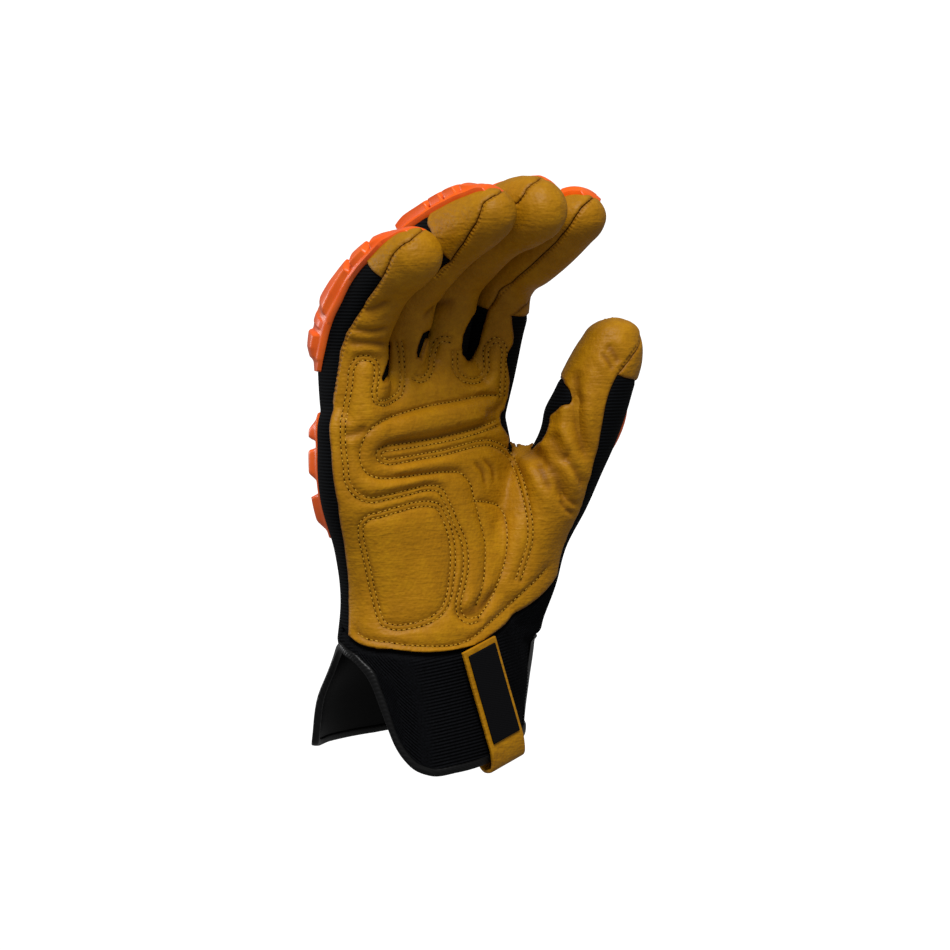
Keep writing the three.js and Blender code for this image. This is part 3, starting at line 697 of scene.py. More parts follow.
# Where the palm passes into the ball of the thumb and into the fingers, the leather bridges the hollows.
bridges = [
    [
        (486, 470), (498, 447), (516, 447), (530, 470), (534, 520), (520, 575), (492, 600), (478, 590),
        (494, 520),
    ],
    [(374, 386), (402, 386), (404, 432), (372, 432)],
    [(406, 361), (432, 361), (432, 392), (406, 392)],
    [(452, 366), (482, 366), (482, 392), (452, 392)],
]
points = get_points(hand.data)
facing = np.array([v.normal.dot(towards_camera) for v in hand.data.vertices])
bridged = np.max([ease(0, 3, inside_outline(points, outline)) for outline in bridges], 0)
bridged *= ease(0.1, 0.4, facing)
group = hand.vertex_groups.new(name="bridged")
for i in np.nonzero(bridged > 0.01)[0]:
    group.add([int(i)], float(bridged[i]), "REPLACE")
apply(hand, "SMOOTH", factor=0.5, iterations=60, vertex_group="bridged")
hand.vertex_groups.clear()

apply(hand, "TRIANGULATE")
cut_skin(hand, lambda points: leather_field(points, find_on_forms(points)))
capped = (*fingers, "thumb")
for name in capped:
    cut_skin(hand, lambda points: cap_field(points, find_on_forms(points), name))
for which in range(3):
    cut_skin(hand, lambda points: edge_fields(points)[which])

panel_names = ["cut_away", "palm_leather", "back_knit", *(f"cap_{name}" for name in capped)]
centres = np.empty(len(hand.data.polygons) * 3)
hand.data.polygons.foreach_get("center", centres)
centres = centres.reshape(-1, 3) / MM
found = find_on_forms(centres)
in_leather = leather_field(centres, found) > 0
above_palm_edge, above_back_edge, in_front = edge_fields(centres)
panel = np.where(in_leather, 1, 2)
for number, name in enumerate(capped, 3):
    panel[(cap_field(centres, found, name) > 0) & ~in_leather] = number
below = np.where(in_front > 0, above_palm_edge < 0, above_back_edge < 0)
panel[below] = 0
for name in panel_names:
    hand.data.materials.append(bpy.data.materials.new(name))
hand.data.polygons.foreach_set("material_index", panel.astype(np.int32))
bpy.ops.object.select_all(action="DESELECT")
hand.select_set(True)
bpy.context.view_layer.objects.active = hand
known = set(bpy.data.objects)
bpy.ops.object.mode_set(mode="EDIT")
bpy.ops.mesh.select_all(action="SELECT")
bpy.ops.mesh.separate(type="MATERIAL")
bpy.ops.object.mode_set(mode="OBJECT")
panels = {}
for made in [hand, *(o for o in bpy.data.objects if o not in known)]:
    own = made.data.materials[0].name.split(".")[0]
    if own == "cut_away":
        bpy.data.objects.remove(made)
        continue
    made.name = f"{own}_sewn"
    panels[own] = made


# The palm and the fingertips' caps are of goatskin, about a millimetre and a half thick. Foam lies under
# parts of the palm, and rows of stitches quilt it, so that the leather swells between them. All rows are
# drawn as they run in the photo, in pixels, and are carried onto the leather along the lines of sight.
# Rows sewn twice, side by side.
double_rows = {
    "outer palm": [
        (344, 419), (349.8, 386), (353.5, 365), (358, 359.5), (366, 358), (374.5, 362), (376.7, 368),
        (376, 381), (374.5, 394), (377, 401.5), (383, 403), (392, 399.5), (400, 393), (402, 385),
        (402, 365), (400.5, 350), (399, 342),
    ],
    "middle root": [
        (455, 352), (457, 372), (466, 380), (478, 380), (485, 372), (488, 346), (496, 340), (503, 346),
        (503.4, 363), (502, 397),
    ],
    "ring root": [
        (414.5, 377), (419.5, 380), (425, 378), (430, 371), (432, 358), (434, 349), (437.5, 342),
        (444, 339), (450, 340),
    ],
    "tongue": [
        (496, 423.5), (480.8, 429.5), (461, 435.5), (442.5, 439.7), (415, 444.5), (393, 447.8),
        (384.3, 449.2), (379, 453), (379.5, 458.5), (386, 461.5), (405, 459.5), (424, 456),
        (442.5, 452.7), (462, 447.5), (478, 443.5), (490, 443), (502, 448), (509.5, 455.5), (515, 466),
        (522, 484), (527, 504), (530, 522), (530, 540), (524, 562), (518, 580),
    ],
    "inner palm": [
        (343, 419), (343, 442), (345.5, 465), (348, 483), (356, 494), (366, 499.5), (388.8, 497),
        (412, 491.5), (430, 488), (438, 489), (446.5, 502), (457, 526), (463.5, 541), (465.8, 556),
        (465.5, 570), (462, 588.5), (458.4, 604.7), (461, 616), (468, 621), (479, 619),
    ],
    "heel pad": [
        (381, 514.5), (397, 509.8), (415, 505), (429, 504), (437, 506), (443, 515), (449, 530),
        (452.6, 549), (452.6, 567), (451, 582), (449, 595), (442, 611), (432, 619), (411, 626),
        (393, 627), (383.5, 623.5), (379.5, 616), (376, 604), (372, 588), (368.5, 571), (364.5, 553),
        (361, 536), (361.5, 525), (367.5, 518.5), (381, 514.5),
    ],
}
# Rows sewn once.
single_rows = {
    "palm fold": [
        (501, 395), (480, 396), (455, 401), (424, 407), (406, 412), (386, 419), (373, 427), (365, 437),
        (360, 451), (361, 464), (368, 474), (379, 478), (402, 477), (424, 474), (446, 472), (460, 473),
        (469, 482), (473, 495), (480, 522), (485, 544), (485, 562), (482, 587), (476, 605),
    ],
    "thumb ball": [
        (473, 501), (486, 502), (498, 506), (504, 515), (507, 531), (507, 544), (504, 564), (498, 582),
        (489, 602), (478, 618),
    ],
    "bottom edge": [
        (358.5, 633.5), (363.7, 637.3), (374, 640.5), (388.5, 642.3), (406, 645), (424, 646),
        (441.6, 646.2), (455.8, 644.6), (468, 640.5), (477, 634.3), (487.6, 624.6), (498, 615),
        (512.4, 601.6), (523, 592), (535.4, 580.4), (546, 568.8),
    ],
}
# Folds without stitches: how deep and how wide, and their line.
folds = [
    (0.8, 1.4, [
        (376, 452), (384, 445.5), (405, 441.5), (430, 438.5), (456, 432), (480, 425), (498, 417),
    ]),
    (1.0, 2.6, [(455, 606), (462, 613), (472, 612), (484, 603), (497, 590)]),
    (2.2, 2.6, [(571, 385), (575.4, 411), (578.7, 435), (588, 462)]),
    (1.7, 3.2, [(551.5, 433), (559, 448), (569, 463)]),
    (2.4, 3.0, [(519, 446), (531, 451), (544, 459), (556, 475), (561, 491), (566, 508)]),
    (1.3, 2.2, [(537, 459), (544, 476), (551, 491)]),
    (1.0, 1.8, [(563, 455), (575, 470), (583, 487)]),
    (0.7, 1.2, [(562, 492), (568, 500), (576, 505)]),
    (0.7, 1.2, [(560, 500), (566, 509), (573, 514)]),
    (0.9, 3.0, [(576, 370), (578.7, 391), (583, 409)]),
    (1.1, 2.4, [(606, 344), (613, 352), (619, 364)]),
    (0.8, 1.6, [(601, 352), (608, 361), (613, 371)]),
    (0.9, 1.8, [(346, 343), (365, 342), (387, 343)]),
    (0.7, 1.6, [(350, 327), (370, 330), (388, 326)]),
    (0.8, 2.2, [(352, 312), (372, 309), (390, 300)]),
    (0.8, 1.8, [(342, 436), (355, 433), (368, 427)]),
    (0.7, 1.5, [(472, 462), (480, 470), (484, 486)]),
    (0.6, 1.3, [(480, 458), (490, 468), (493, 482)]),
    (0.8, 2.6, [(421, 318), (437, 305), (455, 300)]),
    (0.8, 2.2, [(505, 398), (494, 409), (480, 416)]),
]
# Rolls of foam that stand out most: how high and how wide, and their line.
rolls = [
    (2.2, 5.0, [(376, 437), (392, 428), (420, 421), (455, 414), (496, 407)]),
    (1.3, 4.0, [(382, 472), (405, 468), (440, 464), (460, 462)]),
    (1.2, 4.0, [(355, 481), (375, 489), (405, 486), (440, 481)]),
    (1.2, 4.0, [(470, 388), (488, 387), (500, 384)]),
    (0.8, 3.5, [(349, 349), (366, 348), (384, 348)]),
    (1.3, 5.0, [(555, 420), (560, 437), (572, 452)]),
]


def smooth_pixels(knots, step=0.6):
    """An even line of pixels through knots, rounded where they turn."""
    knots = np.asarray(knots, float)
    run = np.concatenate([[0], np.cumsum(np.hypot(*np.diff(knots, axis=0).T))])
    table = np.column_stack([run, knots])
    at = np.linspace(0, run[-1], max(int(run[-1] / step), 3))
    return np.stack([smooth(table, at, 1), smooth(table, at, 2)], -1)


def beside(pixels, shift):
    """The line at a distance to the side of a line of pixels."""
    along = np.gradient(pixels, axis=0)
    along /= np.linalg.norm(along, axis=1)[:, None]
    return pixels + shift * np.stack([-along[:, 1], along[:, 0]], -1)


def tree_of(made):
    """A search tree of a piece's faces, for lines of sight."""
    mesh = made.data
    return BVHTree.FromPolygons([v.co for v in mesh.vertices], [p.vertices for p in mesh.polygons])


def carry_onto(tree, pixels):
    """Points of a surface seen through pixels, with the surface's directions there, in millimetres."""
    points, normals = [], []
    for pixel in pixels:
        point, normal, _, _ = tree.ray_cast(eye * MM, line_of_sight(pixel))
        if point is not None:
            points.append(point / MM)
            normals.append(normal)
    return np.array(points).reshape(-1, 3), np.array(normals).reshape(-1, 3)


def nearest_to(points, line_points):
    """Distance to the nearest point of a set, and which one it is."""
    tree = KDTree(len(line_points))
    for i, p in enumerate(line_points):
        tree.insert(p, i)
    tree.balance()
    hits = [tree.find(p) for p in points]
    return np.array([h[2] for h in hits]), np.array([h[1] for h in hits])


def store(mesh, name, values):
    """Keeps a value for each point in the mesh."""
    mesh.attributes.new(name, "FLOAT", "POINT").data.foreach_set("value", np.asarray(values, np.float32))


def read_store(mesh, name):
    """The values that a mesh keeps for its points."""
    values = np.empty(len(mesh.vertices))
    mesh.attributes[name].data.foreach_get("value", values)
    return values


def vertex_normals(mesh):
    """The directions out of a mesh at its points."""
    normals = np.empty(len(mesh.vertices) * 3)
    mesh.vertices.foreach_get("normal", normals)
    return normals.reshape(-1, 3)


def outer_normals(mesh):
    """Directions out of the outer side, from its own faces alone, so that rims don't lean away from it."""
    outer = read_store(mesh, "outer") > 0.5
    whole = vertex_normals(mesh)
    total = np.zeros((len(mesh.vertices), 3))
    for face in mesh.polygons:
        corners = list(face.vertices)
        if outer[corners].all():
            total[corners] += np.array(face.normal) * face.area
    size = np.linalg.norm(total, axis=1)
    return np.where(size[:, None] > 0, total / np.maximum(size, 1e-12)[:, None], whole)


def rim_of(mesh):
    """Points along the open edges of a panel."""
    mesh_edges = bmesh.new()
    mesh_edges.from_mesh(mesh)
    found = []
    for edge in mesh_edges.edges:
        if edge.is_boundary:
            a, b = (np.array(v.co) / MM for v in edge.verts)
            found += [a, a * 0.67 + b * 0.33, a * 0.33 + b * 0.67]
    mesh_edges.free()
    return np.array(found)


def draw_in_rim(made, gap):
    """Draws the open edges of a panel back, so that neighbours don't touch."""
    mesh = bmesh.new()
    mesh.from_mesh(made.data)
    moves = {}
    for v in mesh.verts:
        if v.is_boundary:
            inner = [e.other_vert(v).co for e in v.link_edges if not e.is_boundary]
            if inner:
                way = sum(inner, Vector()) / len(inner) - v.co
                moves[v] = way.normalized() * min(gap * MM, way.length * 0.5)
    for v, move in moves.items():
        v.co += move
    mesh.to_mesh(made.data)
    mesh.free()


def refine_near(made, line_points, reach):
    """Halves the faces of the outer side that lie near a set of points."""
    points = get_points(made.data)
    near, _ = nearest_to(points, line_points)
    outer = read_store(made.data, "outer")
    close = (near < reach) & (outer > 0.5)
    mesh = bmesh.new()
    mesh.from_mesh(made.data)
    mesh.verts.ensure_lookup_table()
    chosen = [e for e in mesh.edges if close[e.verts[0].index] and close[e.verts[1].index]]
    bmesh.ops.subdivide_edges(mesh, edges=chosen, cuts=1, use_grid_fill=True, smooth=0.7)
    bmesh.ops.triangulate(mesh, faces=[f for f in mesh.faces if len(f.verts) > 4])
    mesh.to_mesh(made.data)
    mesh.free()


rims = {name: rim_of(made.data) for name, made in panels.items()}
leather = panels["palm_leather"]
bare_leather = tree_of(leather)
stitch_lines = {}
row_shift = 2.5
for name, knots in double_rows.items():
    line = smooth_pixels(knots)
    for side in (-1, 1):
        stitch_lines[f"{name} {side}"] = beside(line, row_shift * side)
for name, knots in single_rows.items():
    stitch_lines[name] = smooth_pixels(knots)
row_points = np.concatenate([carry_onto(bare_leather, line)[0] for line in stitch_lines.values()])
bottom_points = carry_onto(bare_leather, stitch_lines["bottom edge"])[0]
fold_lines = [carry_onto(bare_leather, smooth_pixels(knots))[0] for _, _, knots in folds]
# The seams of the fingers and the thumb are sewn from inside. Only their needle holes show, each in a small
# pucker. They run beside the seam, on the leather: how far beside, how far apart, and the line, in pixels.
seam_rows = {
    "index seam": (1.7, 1.55, tip_seams["index"][1:-2]),
    "middle seam": (1.7, 1.6, tip_seams["middle"][2:-1]),
    "ring seam": (1.7, 1.6, tip_seams["ring"][1:-2]),
    "pinky seam": (1.8, 2.0, tip_seams["pinky"][3:-2]),
    "thumb seam": (
        0,
        1.75,
        [
            (641, 329), (639, 337.7), (638.2, 342.3), (636, 346.4), (630.3, 354.2), (625.1, 362.4),
            (619.5, 370.7),
        ],
    ),
}
seam_points, pucker_points = [], []
for shift, pitch, knots in seam_rows.values():
    line = carry_onto(bare_leather, beside(smooth_pixels(knots), shift))[0]
    seam_points.append(line)
    run = np.concatenate([[0], np.cumsum(np.linalg.norm(np.diff(line, axis=0), axis=1))])
    at = np.arange(0, run[-1], pitch)
    pucker_points.append(np.stack([np.interp(at, run, line[:, k]) for k in range(3)], -1))
seam_points, pucker_points = np.concatenate(seam_points), np.concatenate(pucker_points)
roll_lines = [carry_onto(bare_leather, smooth_pixels(knots))[0] for _, _, knots in rolls]


def fade(away, reach, power=2):
    """1 on a line, fading to nothing beside it."""
    return np.exp(-((away / reach) ** power))


def thicken(made, thickness):
    """Gives a panel its thickness inwards and marks the points of its outer side."""
    draw_in_rim(made, rim_gap)
    count = len(made.data.vertices)
    store(made.data, "outer", np.ones(count))
    apply(made, "SOLIDIFY", thickness=thickness * MM, offset=-1)
    outer = np.zeros(len(made.data.vertices))
    outer[:count] = 1
    made.data.attributes["outer"].data.foreach_set("value", outer.astype(np.float32))


leather_thickness = 1.5
rim_gap = 0.02
leather_panels = [name for name in panels if name != "back_knit"]
for name in leather_panels:
    thicken(panels[name], leather_thickness)
refine_near(leather, np.concatenate([row_points, rims["palm_leather"], *fold_lines]), 2.6)
for name in leather_panels:
    if name.startswith("cap"):
        refine_near(panels[name], rims[name], 3)
    refine_near(panels[name], seam_points, 2)

# What the sewing does to the leather: it stands up a little, and sinks in along seams, in small puckers at
# their needles and along the rows. Foam lifts it between the rows. Depths and heights, each with its reach.
stands_up = 0.35
seam_depth, seam_reach = 0.55, 0.75
pucker_depth, pucker_reach = 0.4, 0.7
row_depth, row_reach = 0.5, 0.85
# How dark the painted shade is at seams, puckers and rows, each with its reach, and in folds. A fold pushes
# up ridges on both sides, which are a share of its depth.
seam_shade, pucker_shade, row_shade = (0.75, 0.6), (0.8, 0.42), (0.3, 0.8)
fold_shade, ridge_share = 0.6, 0.4
swell_height, swell_starts, swell_ends = 0.75, 3.2, 17
hem_starts, hem_reach = 1, 2.5
for name in leather_panels:
    made = panels[name]
    points = get_points(made.data)
    outer = read_store(made.data, "outer") > 0.5
    normals = outer_normals(made.data)
    to_rim, _ = nearest_to(points, rims[name])
    to_pucker, _ = nearest_to(points, pucker_points)
    rise = stands_up - seam_depth * fade(to_rim, seam_reach) - pucker_depth * fade(to_pucker, pucker_reach)
    painted_seam_shade = seam_shade[0] * fade(to_rim, seam_shade[1])
    shade = np.maximum(painted_seam_shade, pucker_shade[0] * fade(to_pucker, pucker_shade[1]))
    if name == "palm_leather":
        to_row, _ = nearest_to(points, row_points)
        to_bottom, _ = nearest_to(points, bottom_points)
        at_hem = fade(np.maximum(to_bottom - hem_starts, 0), hem_reach, 4)
        rise = rise * (1 - at_hem) + stands_up * at_hem
        rise += swell_height * (1 - fade(to_row, swell_starts)) * fade(to_row, swell_ends, 4)
        rise -= row_depth * fade(to_row, row_reach)
        shade = np.maximum(shade * (1 - at_hem), row_shade[0] * fade(to_row, row_shade[1]))
        for (depth, width, _), line in zip(folds, fold_lines):
            away, which = nearest_to(points, line)
            end = np.minimum(1, 5 * np.minimum(which / len(line), 1 - which / len(line)) + 0.05)
            ridges = ridge_share * fade(away - 2 * width, width)
            rise += end * depth * (ridges - fade(away, width))
            shade = np.maximum(shade, fold_shade * end * fade(away, 0.6 * width))
        for (height, width, _), line in zip(rolls, roll_lines):
            away, which = nearest_to(points, line)
            end = np.minimum(1, 4 * np.minimum(which / len(line), 1 - which / len(line)) + 0.1)
            rise += end * height * fade(away, width, 4) * (1 - fade(to_row, 1.6))
    # Painted shade: this value darkens the leather's colour in the hollows along seams, puckers, rows and
    # folds.
    store(made.data, "crease", shade)
    set_points(made.data, points + normals * (rise * outer)[:, None])


def linear(code):
    """An sRGB hex colour as linear values."""
    parts = [int(code[i : i + 2], 16) / 255 for i in (0, 2, 4)]
    return (*(p / 12.92 if p < 0.04045 else ((p + 0.055) / 1.055) ** 2.4 for p in parts), 1)


def new_finish(name, colour, roughness, specular):
    """A material, with its nodes, its shader and the coordinates for its textures."""
    material = bpy.data.materials.new(name)
    material.use_nodes = True
    tree = material.node_tree
    shader = tree.nodes["Principled BSDF"]
    shader.inputs["Base Color"].default_value = linear(colour)
    shader.inputs["Roughness"].default_value = roughness
    shader.inputs["Specular IOR Level"].default_value = specular
    return material, tree, shader, add(tree, "TexCoord").outputs["Object"]


def add(tree, kind, inputs=(), **properties):
    """Adds a node. Each input is a value, or the output of another node."""
    node = tree.nodes.new(f"ShaderNode{kind}")
    for key, value in properties.items():
        setattr(node, key, value)
    for key, value in dict(inputs).items():
        if isinstance(value, bpy.types.NodeSocket):
            tree.links.new(value, node.inputs[key])
        else:
            node.inputs[key].default_value = value
    return node


def colours(tree, value, stops):
    """Colours picked by a value, from stops that are pairs of a place and a hex colour."""
    ramp = add(tree, "ValToRGB", {"Fac": value})
    while len(ramp.color_ramp.elements) < len(stops):
        ramp.color_ramp.elements.new(0.5)
    for element, (at, code) in zip(ramp.color_ramp.elements, stops):
        element.position = at
        element.color = linear(code)
    return ramp.outputs["Color"]


def colour_by(tree, shader, value, stops):
    """Lets a value of a texture pick the finish's colour."""
    tree.links.new(colours(tree, value, stops), shader.inputs["Base Color"])


def raise_by(tree, shader, value, strength, height):
    """Lets a value of a texture stand up in the finish, by up to a height in millimetres."""
    bump = add(tree, "Bump", {"Height": value, "Strength": strength, "Distance": height * MM})
    tree.links.new(bump.outputs[0], shader.inputs["Normal"])


# Goatskin, drum dyed through in gold: even in colour, a little patchy, with fine grain and wrinkles. Where
# it is drawn in along seams, puckers, rows and folds, it is painted brown as shade. The finest grain is
# drawn coarser than it is, to show at all.
leather_look, tree, shader, where = new_finish("goatskin_drum_dyed", "A87414", 0.5, 0.16)
patches = add(tree, "TexNoise", {"Vector": where, "Scale": 38, "Detail": 3, "Roughness": 0.6})
mottle = add(tree, "TexNoise", {"Vector": where, "Scale": 330, "Detail": 5, "Roughness": 0.7})
tone = add(tree, "Math", {0: patches.outputs[0], 1: mottle.outputs[0]}, operation="ADD")
tone = add(tree, "Math", {0: tone.outputs[0], 1: 0.5}, operation="MULTIPLY")
gold = colours(tree, tone.outputs[0], [(0.34, "9B6807"), (0.5, "A97309"), (0.66, "B7810B")])
crease = add(tree, "Attribute", attribute_name="crease")
gold_and_painted_shade = add(
    tree,
    "Mix",
    {0: crease.outputs["Fac"], 6: gold, 7: linear("6A3C06")},
    data_type="RGBA",
)
tree.links.new(gold_and_painted_shade.outputs[2], shader.inputs["Base Color"])
pebbles = add(tree, "TexVoronoi", {"Vector": where, "Scale": 800, "Randomness": 1}, feature="SMOOTH_F1")
stretch = add(tree, "Mapping", {"Vector": where, "Scale": (120, 120, 650), "Rotation": (0.1, 0.25, 0)})
wrinkles = add(tree, "TexNoise", {"Vector": stretch.outputs[0], "Scale": 1, "Detail": 2, "Distortion": 0.4})
grain = add(tree, "Math", {0: pebbles.outputs[0], 1: mottle.outputs[0]}, operation="ADD")
grain = add(tree, "Math", {0: grain.outputs[0], 1: 0.45}, operation="MULTIPLY")
height = add(tree, "Math", {0: wrinkles.outputs[0], 1: 0.8}, operation="MULTIPLY")
height = add(tree, "Math", {0: height.outputs[0], 1: grain.outputs[0]}, operation="ADD")
raise_by(tree, shader, height.outputs[0], 0.6, 0.6)


def dress(made, node, look):
    """Sets a piece's finish, attaches it to the root body and hides the CAD node that it stands for."""
    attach(made, "root")
    if node:
        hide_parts(node)
    made.data.materials.clear()
    made.data.materials.append(look)


def dress_panel(name, look):
    """Dresses a sewn panel, and shades it smooth."""
    dress(panels[name], name, look)
    bpy.ops.object.select_all(action="DESELECT")
    panels[name].select_set(True)
    bpy.context.view_layer.objects.active = panels[name]
    bpy.ops.object.shade_smooth()


for name in leather_panels:
    dress_panel(name, leather_look)

# The rows are sewn by machine in thick golden thread of bonded polyester. Each stitch stands up from the
# leather, and dips into a needle hole at both ends, whose darkness is painted shade. One small ball is drawn
# out for each.
stitch_pitch = 2.05
stitch_size = (1.2, 0.58, 0.46)
hole_size = (0.78, 0.66, 0.34)
stitch_lift = 0.05


def walk(points, normals, pitch):
    """Even places along a line on a surface, with the direction along it and out of it."""
    run = np.concatenate([[0], np.cumsum(np.linalg.norm(np.diff(points, axis=0), axis=1))])
    at = np.arange(0, run[-1], pitch)
    place = np.stack([np.interp(at, run, points[:, k]) for k in range(3)], -1)
    ahead = np.stack([np.interp(at + 0.4, run, points[:, k]) for k in range(3)], -1)
    behind = np.stack([np.interp(at - 0.4, run, points[:, k]) for k in range(3)], -1)
    out = np.stack([np.interp(at, run, normals[:, k]) for k in range(3)], -1)
    out /= np.linalg.norm(out, axis=1)[:, None]
    along = ahead - behind
    along -= out * (along * out).sum(1)[:, None]
    along /= np.maximum(np.linalg.norm(along, axis=1), 1e-6)[:, None]
    return place, along, out


def face_outwards(made):
    """Turns the faces of a closed piece outwards, and shades it smooth up to its edges."""
    bpy.ops.object.select_all(action="DESELECT")
    made.select_set(True)
    bpy.context.view_layer.objects.active = made
    bpy.ops.object.mode_set(mode="EDIT")
    bpy.ops.mesh.select_all(action="SELECT")
    bpy.ops.mesh.normals_make_consistent(inside=False)
    bpy.ops.object.mode_set(mode="OBJECT")
    bpy.ops.object.shade_smooth_by_angle(angle=math.radians(50))


def scatter(name, places, alongs, outs, sizes, sides=6, rings=4):
    """Small balls of one shape, set along lines: length, width and height of each."""
    bpy.ops.mesh.primitive_uv_sphere_add(segments=sides, ring_count=rings, radius=MM)
    made = bpy.context.object
    made.name = name
    ball = get_points(made.data)
    faces = [list(p.vertices) for p in made.data.polygons]
    across = np.cross(outs, alongs)
    points, shapes = [], []
    for i in range(len(places)):
        length, width, height = sizes[i]
        points.append(
            places[i]
            + ball[:, 2:3] * alongs[i] * length / 2
            + ball[:, 0:1] * across[i] * width / 2
            + ball[:, 1:2] * outs[i] * height / 2
        )
        shapes += [[v + i * len(ball) for v in face] for face in faces]
    mesh = bpy.data.meshes.new(name)
    mesh.from_pydata((np.concatenate(points) * MM).tolist(), [], shapes)
    made.data = mesh
    face_outwards(made)
    return made


sewn_leather = tree_of(leather)
thread_places, hole_places = [], []
for name, line in stitch_lines.items():
    points, normals = carry_onto(sewn_leather, line)
    place, along, out = walk(points, normals, stitch_pitch)
    thread_places.append((place + out * stitch_lift, along, out))
    hole_places.append((place + along * stitch_pitch / 2, along, out))
chance = np.random.default_rng(5)
place, along, out = (np.concatenate([t[k] for t in thread_places]) for k in range(3))
sizes = np.array(stitch_size) * chance.uniform(0.85, 1.1, (len(place), 3))
thread = scatter("palm_stitches", place, along, out, sizes)
place, along, out = (np.concatenate([t[k] for t in hole_places]) for k in range(3))
sizes = np.array(hole_size) * chance.uniform(0.8, 1.15, (len(place), 3))
holes = scatter("needle_holes", place, along, out, sizes)

# Bonded polyester thread in a lighter gold than the leather: smooth, with a soft shine.
thread_look, tree, shader, where = new_finish("bonded_polyester_thread", "C9973A", 0.45, 0.25)
fibres = add(tree, "TexNoise", {"Vector": where, "Scale": 1500, "Detail": 2})
colour_by(tree, shader, fibres.outputs[0], [(0.35, "A57715"), (0.65, "C99B26")])
dress(thread, None, thread_look)

# The needle holes are deep and narrow. The near-black colour of these small balls is painted shade, standing
# in for their dark inside.
hole_look, tree, shader, where = new_finish("needle_hole_in_leather", "2A1502", 1, 0)
depth = add(tree, "TexNoise", {"Vector": where, "Scale": 900})
colour_by(tree, shader, depth.outputs[0], [(0.3, "2A1402"), (0.7, "4A2A06")])
dress(holes, None, hole_look)

# The back of the hand, the backs of the fingers and the strips between them are one panel of thin black
# knit, sewn to the leather all round. It sinks in along its seams, and lies deep between the fingers' roots.
knit = panels["back_knit"]
knit_thickness = 1.3
knit_seam_depth, knit_seam_reach = 0.45, 1.2
gap_depth = 2.2
thicken(knit, knit_thickness)
points = get_points(knit.data)
outer = read_store(knit.data, "outer") > 0.5
normals = outer_normals(knit.data)
to_rim, _ = nearest_to(points, rims["back_knit"])
rise = -knit_seam_depth * fade(to_rim, knit_seam_reach)
seen = normals @ np.array(towards_camera) > 0
for outline in root_openings.values():
    rise -= gap_depth * seen * ease(-0.5, 2.2, inside_outline(points, outline))
set_points(knit.data, points + normals * (rise * outer)[:, None])


def wave_scale(pitch):
    """The scale of a wave texture whose bands repeat at a pitch in millimetres."""
    return 2 * math.pi / (20 * pitch * MM)


# Spun polyester knit, dyed black: matt, with fine rows. Their crests are painted a little lighter as a
# painted highlight, and are raised by the bump too.
knit_look, tree, shader, where = new_finish("polyester_knit_dyed_black", "0A0B0D", 0.85, 0.06)
rows = add(
    tree,
    "TexWave",
    {"Vector": where, "Scale": wave_scale(1.3), "Distortion": 0.6, "Detail Scale": 1},
    bands_direction="Z",
)
colour_by(tree, shader, rows.outputs["Fac"], [(0.2, "040405"), (0.9, "0E1013")])
loops = add(tree, "TexNoise", {"Vector": where, "Scale": 1400, "Detail": 2})
height = add(tree, "Math", {0: loops.outputs[0], 1: 0.5}, operation="MULTIPLY")
height = add(tree, "Math", {0: height.outputs[0], 1: rows.outputs["Fac"]}, operation="ADD")
raise_by(tree, shader, height.outputs[0], 0.5, 0.4)
dress_panel("back_knit", knit_look)

# The front of the wrist is a panel of heavy rib knit, sewn under the palm's edge. It follows the palm's
# skin and the base of the thumb, and flares towards the mouth. Its ribs run round the wrist.
# How far the wrist flares out: height and distance; and the share of it at each angle.
flare_rows = [(-16, 10), (6, 7.4), (26, 4.9), (36, 1.8), (44, 0)]
flare_shares = [(-260, 0), (-230, 0.1), (-180, 0.5), (-140, 1), (-108, 1), (-96, 0), (100, 0)]
# The mouth's lower edge: angle and height, with the deep notch on the little-finger side.
mouth_rows = [
    (-180, 5),
    (-150, 4.3),
    (-134, 4.4),
    (-124, 8),
    (-116, 23),
    (-109, 38),
    (-102, 44),
    (-91, 43),
    (-79, 39.5),
    (-69, 32),
    (-62, 21),
    (-55, 9.5),
    (-46, 1.1),
    (-34, -3.3),
    (-18, -2.8),
    (8, 0.3),
    (32, 4.5),
    (56, 7.5),
    (100, 9),
    (140, 7.4),
    (180, 5),
]
tape_width = 3.2
tape_radius = 37


def reach_of_oval(rows, height, ray, grow):
    """How far a ray from the wrist's middle goes to the skin of an oval level."""
    half_width, half_depth = smooth(rows, height, 3) + grow, smooth(rows, height, 4) + grow
    offset_x = wrist_middle[0] - smooth(rows, height, 1)
    offset_y = wrist_middle[1] - smooth(rows, height, 2)
    square = (ray[0] / half_width) ** 2 + (ray[1] / half_depth) ** 2
    mixed = ray[0] * offset_x / half_width**2 + ray[1] * offset_y / half_depth**2
    rest = (offset_x / half_width) ** 2 + (offset_y / half_depth) ** 2 - 1
    root = mixed**2 - square * rest
    return np.where(root > 0, (np.sqrt(np.maximum(root, 0)) - mixed) / square, 0)


def on_wrist(angle, height, grow):
    """Points round the wrist at angles and heights."""
    side = (np.asarray(angle, float) + 180) % 360 - 180
    flare = straight(flare_shares, np.where(side > 100, side - 360, side), 1)
    flare = flare * smooth(flare_rows, height, 1)
    ray = (wrist_half_width * np.sin(np.radians(side)), -wrist_half_depth * np.cos(np.radians(side)))
    reach = reach_of_oval(palm_rows, height, ray, grow + flare)
    thumb_starts = thumb_rows[0][0]
    thumb_reach = reach_of_oval(thumb_rows, np.maximum(height, thumb_starts), ray, grow)
    thumb_reach = np.where(height > thumb_starts, thumb_reach, 0)
    over = thumb_reach - reach
    reach = reach + 0.5 * (over + np.sqrt(over**2 + 0.03**2)) * (thumb_reach > 0.3)
    return np.stack([wrist_middle[0] + ray[0] * reach, wrist_middle[1] + ray[1] * reach, height], -1)


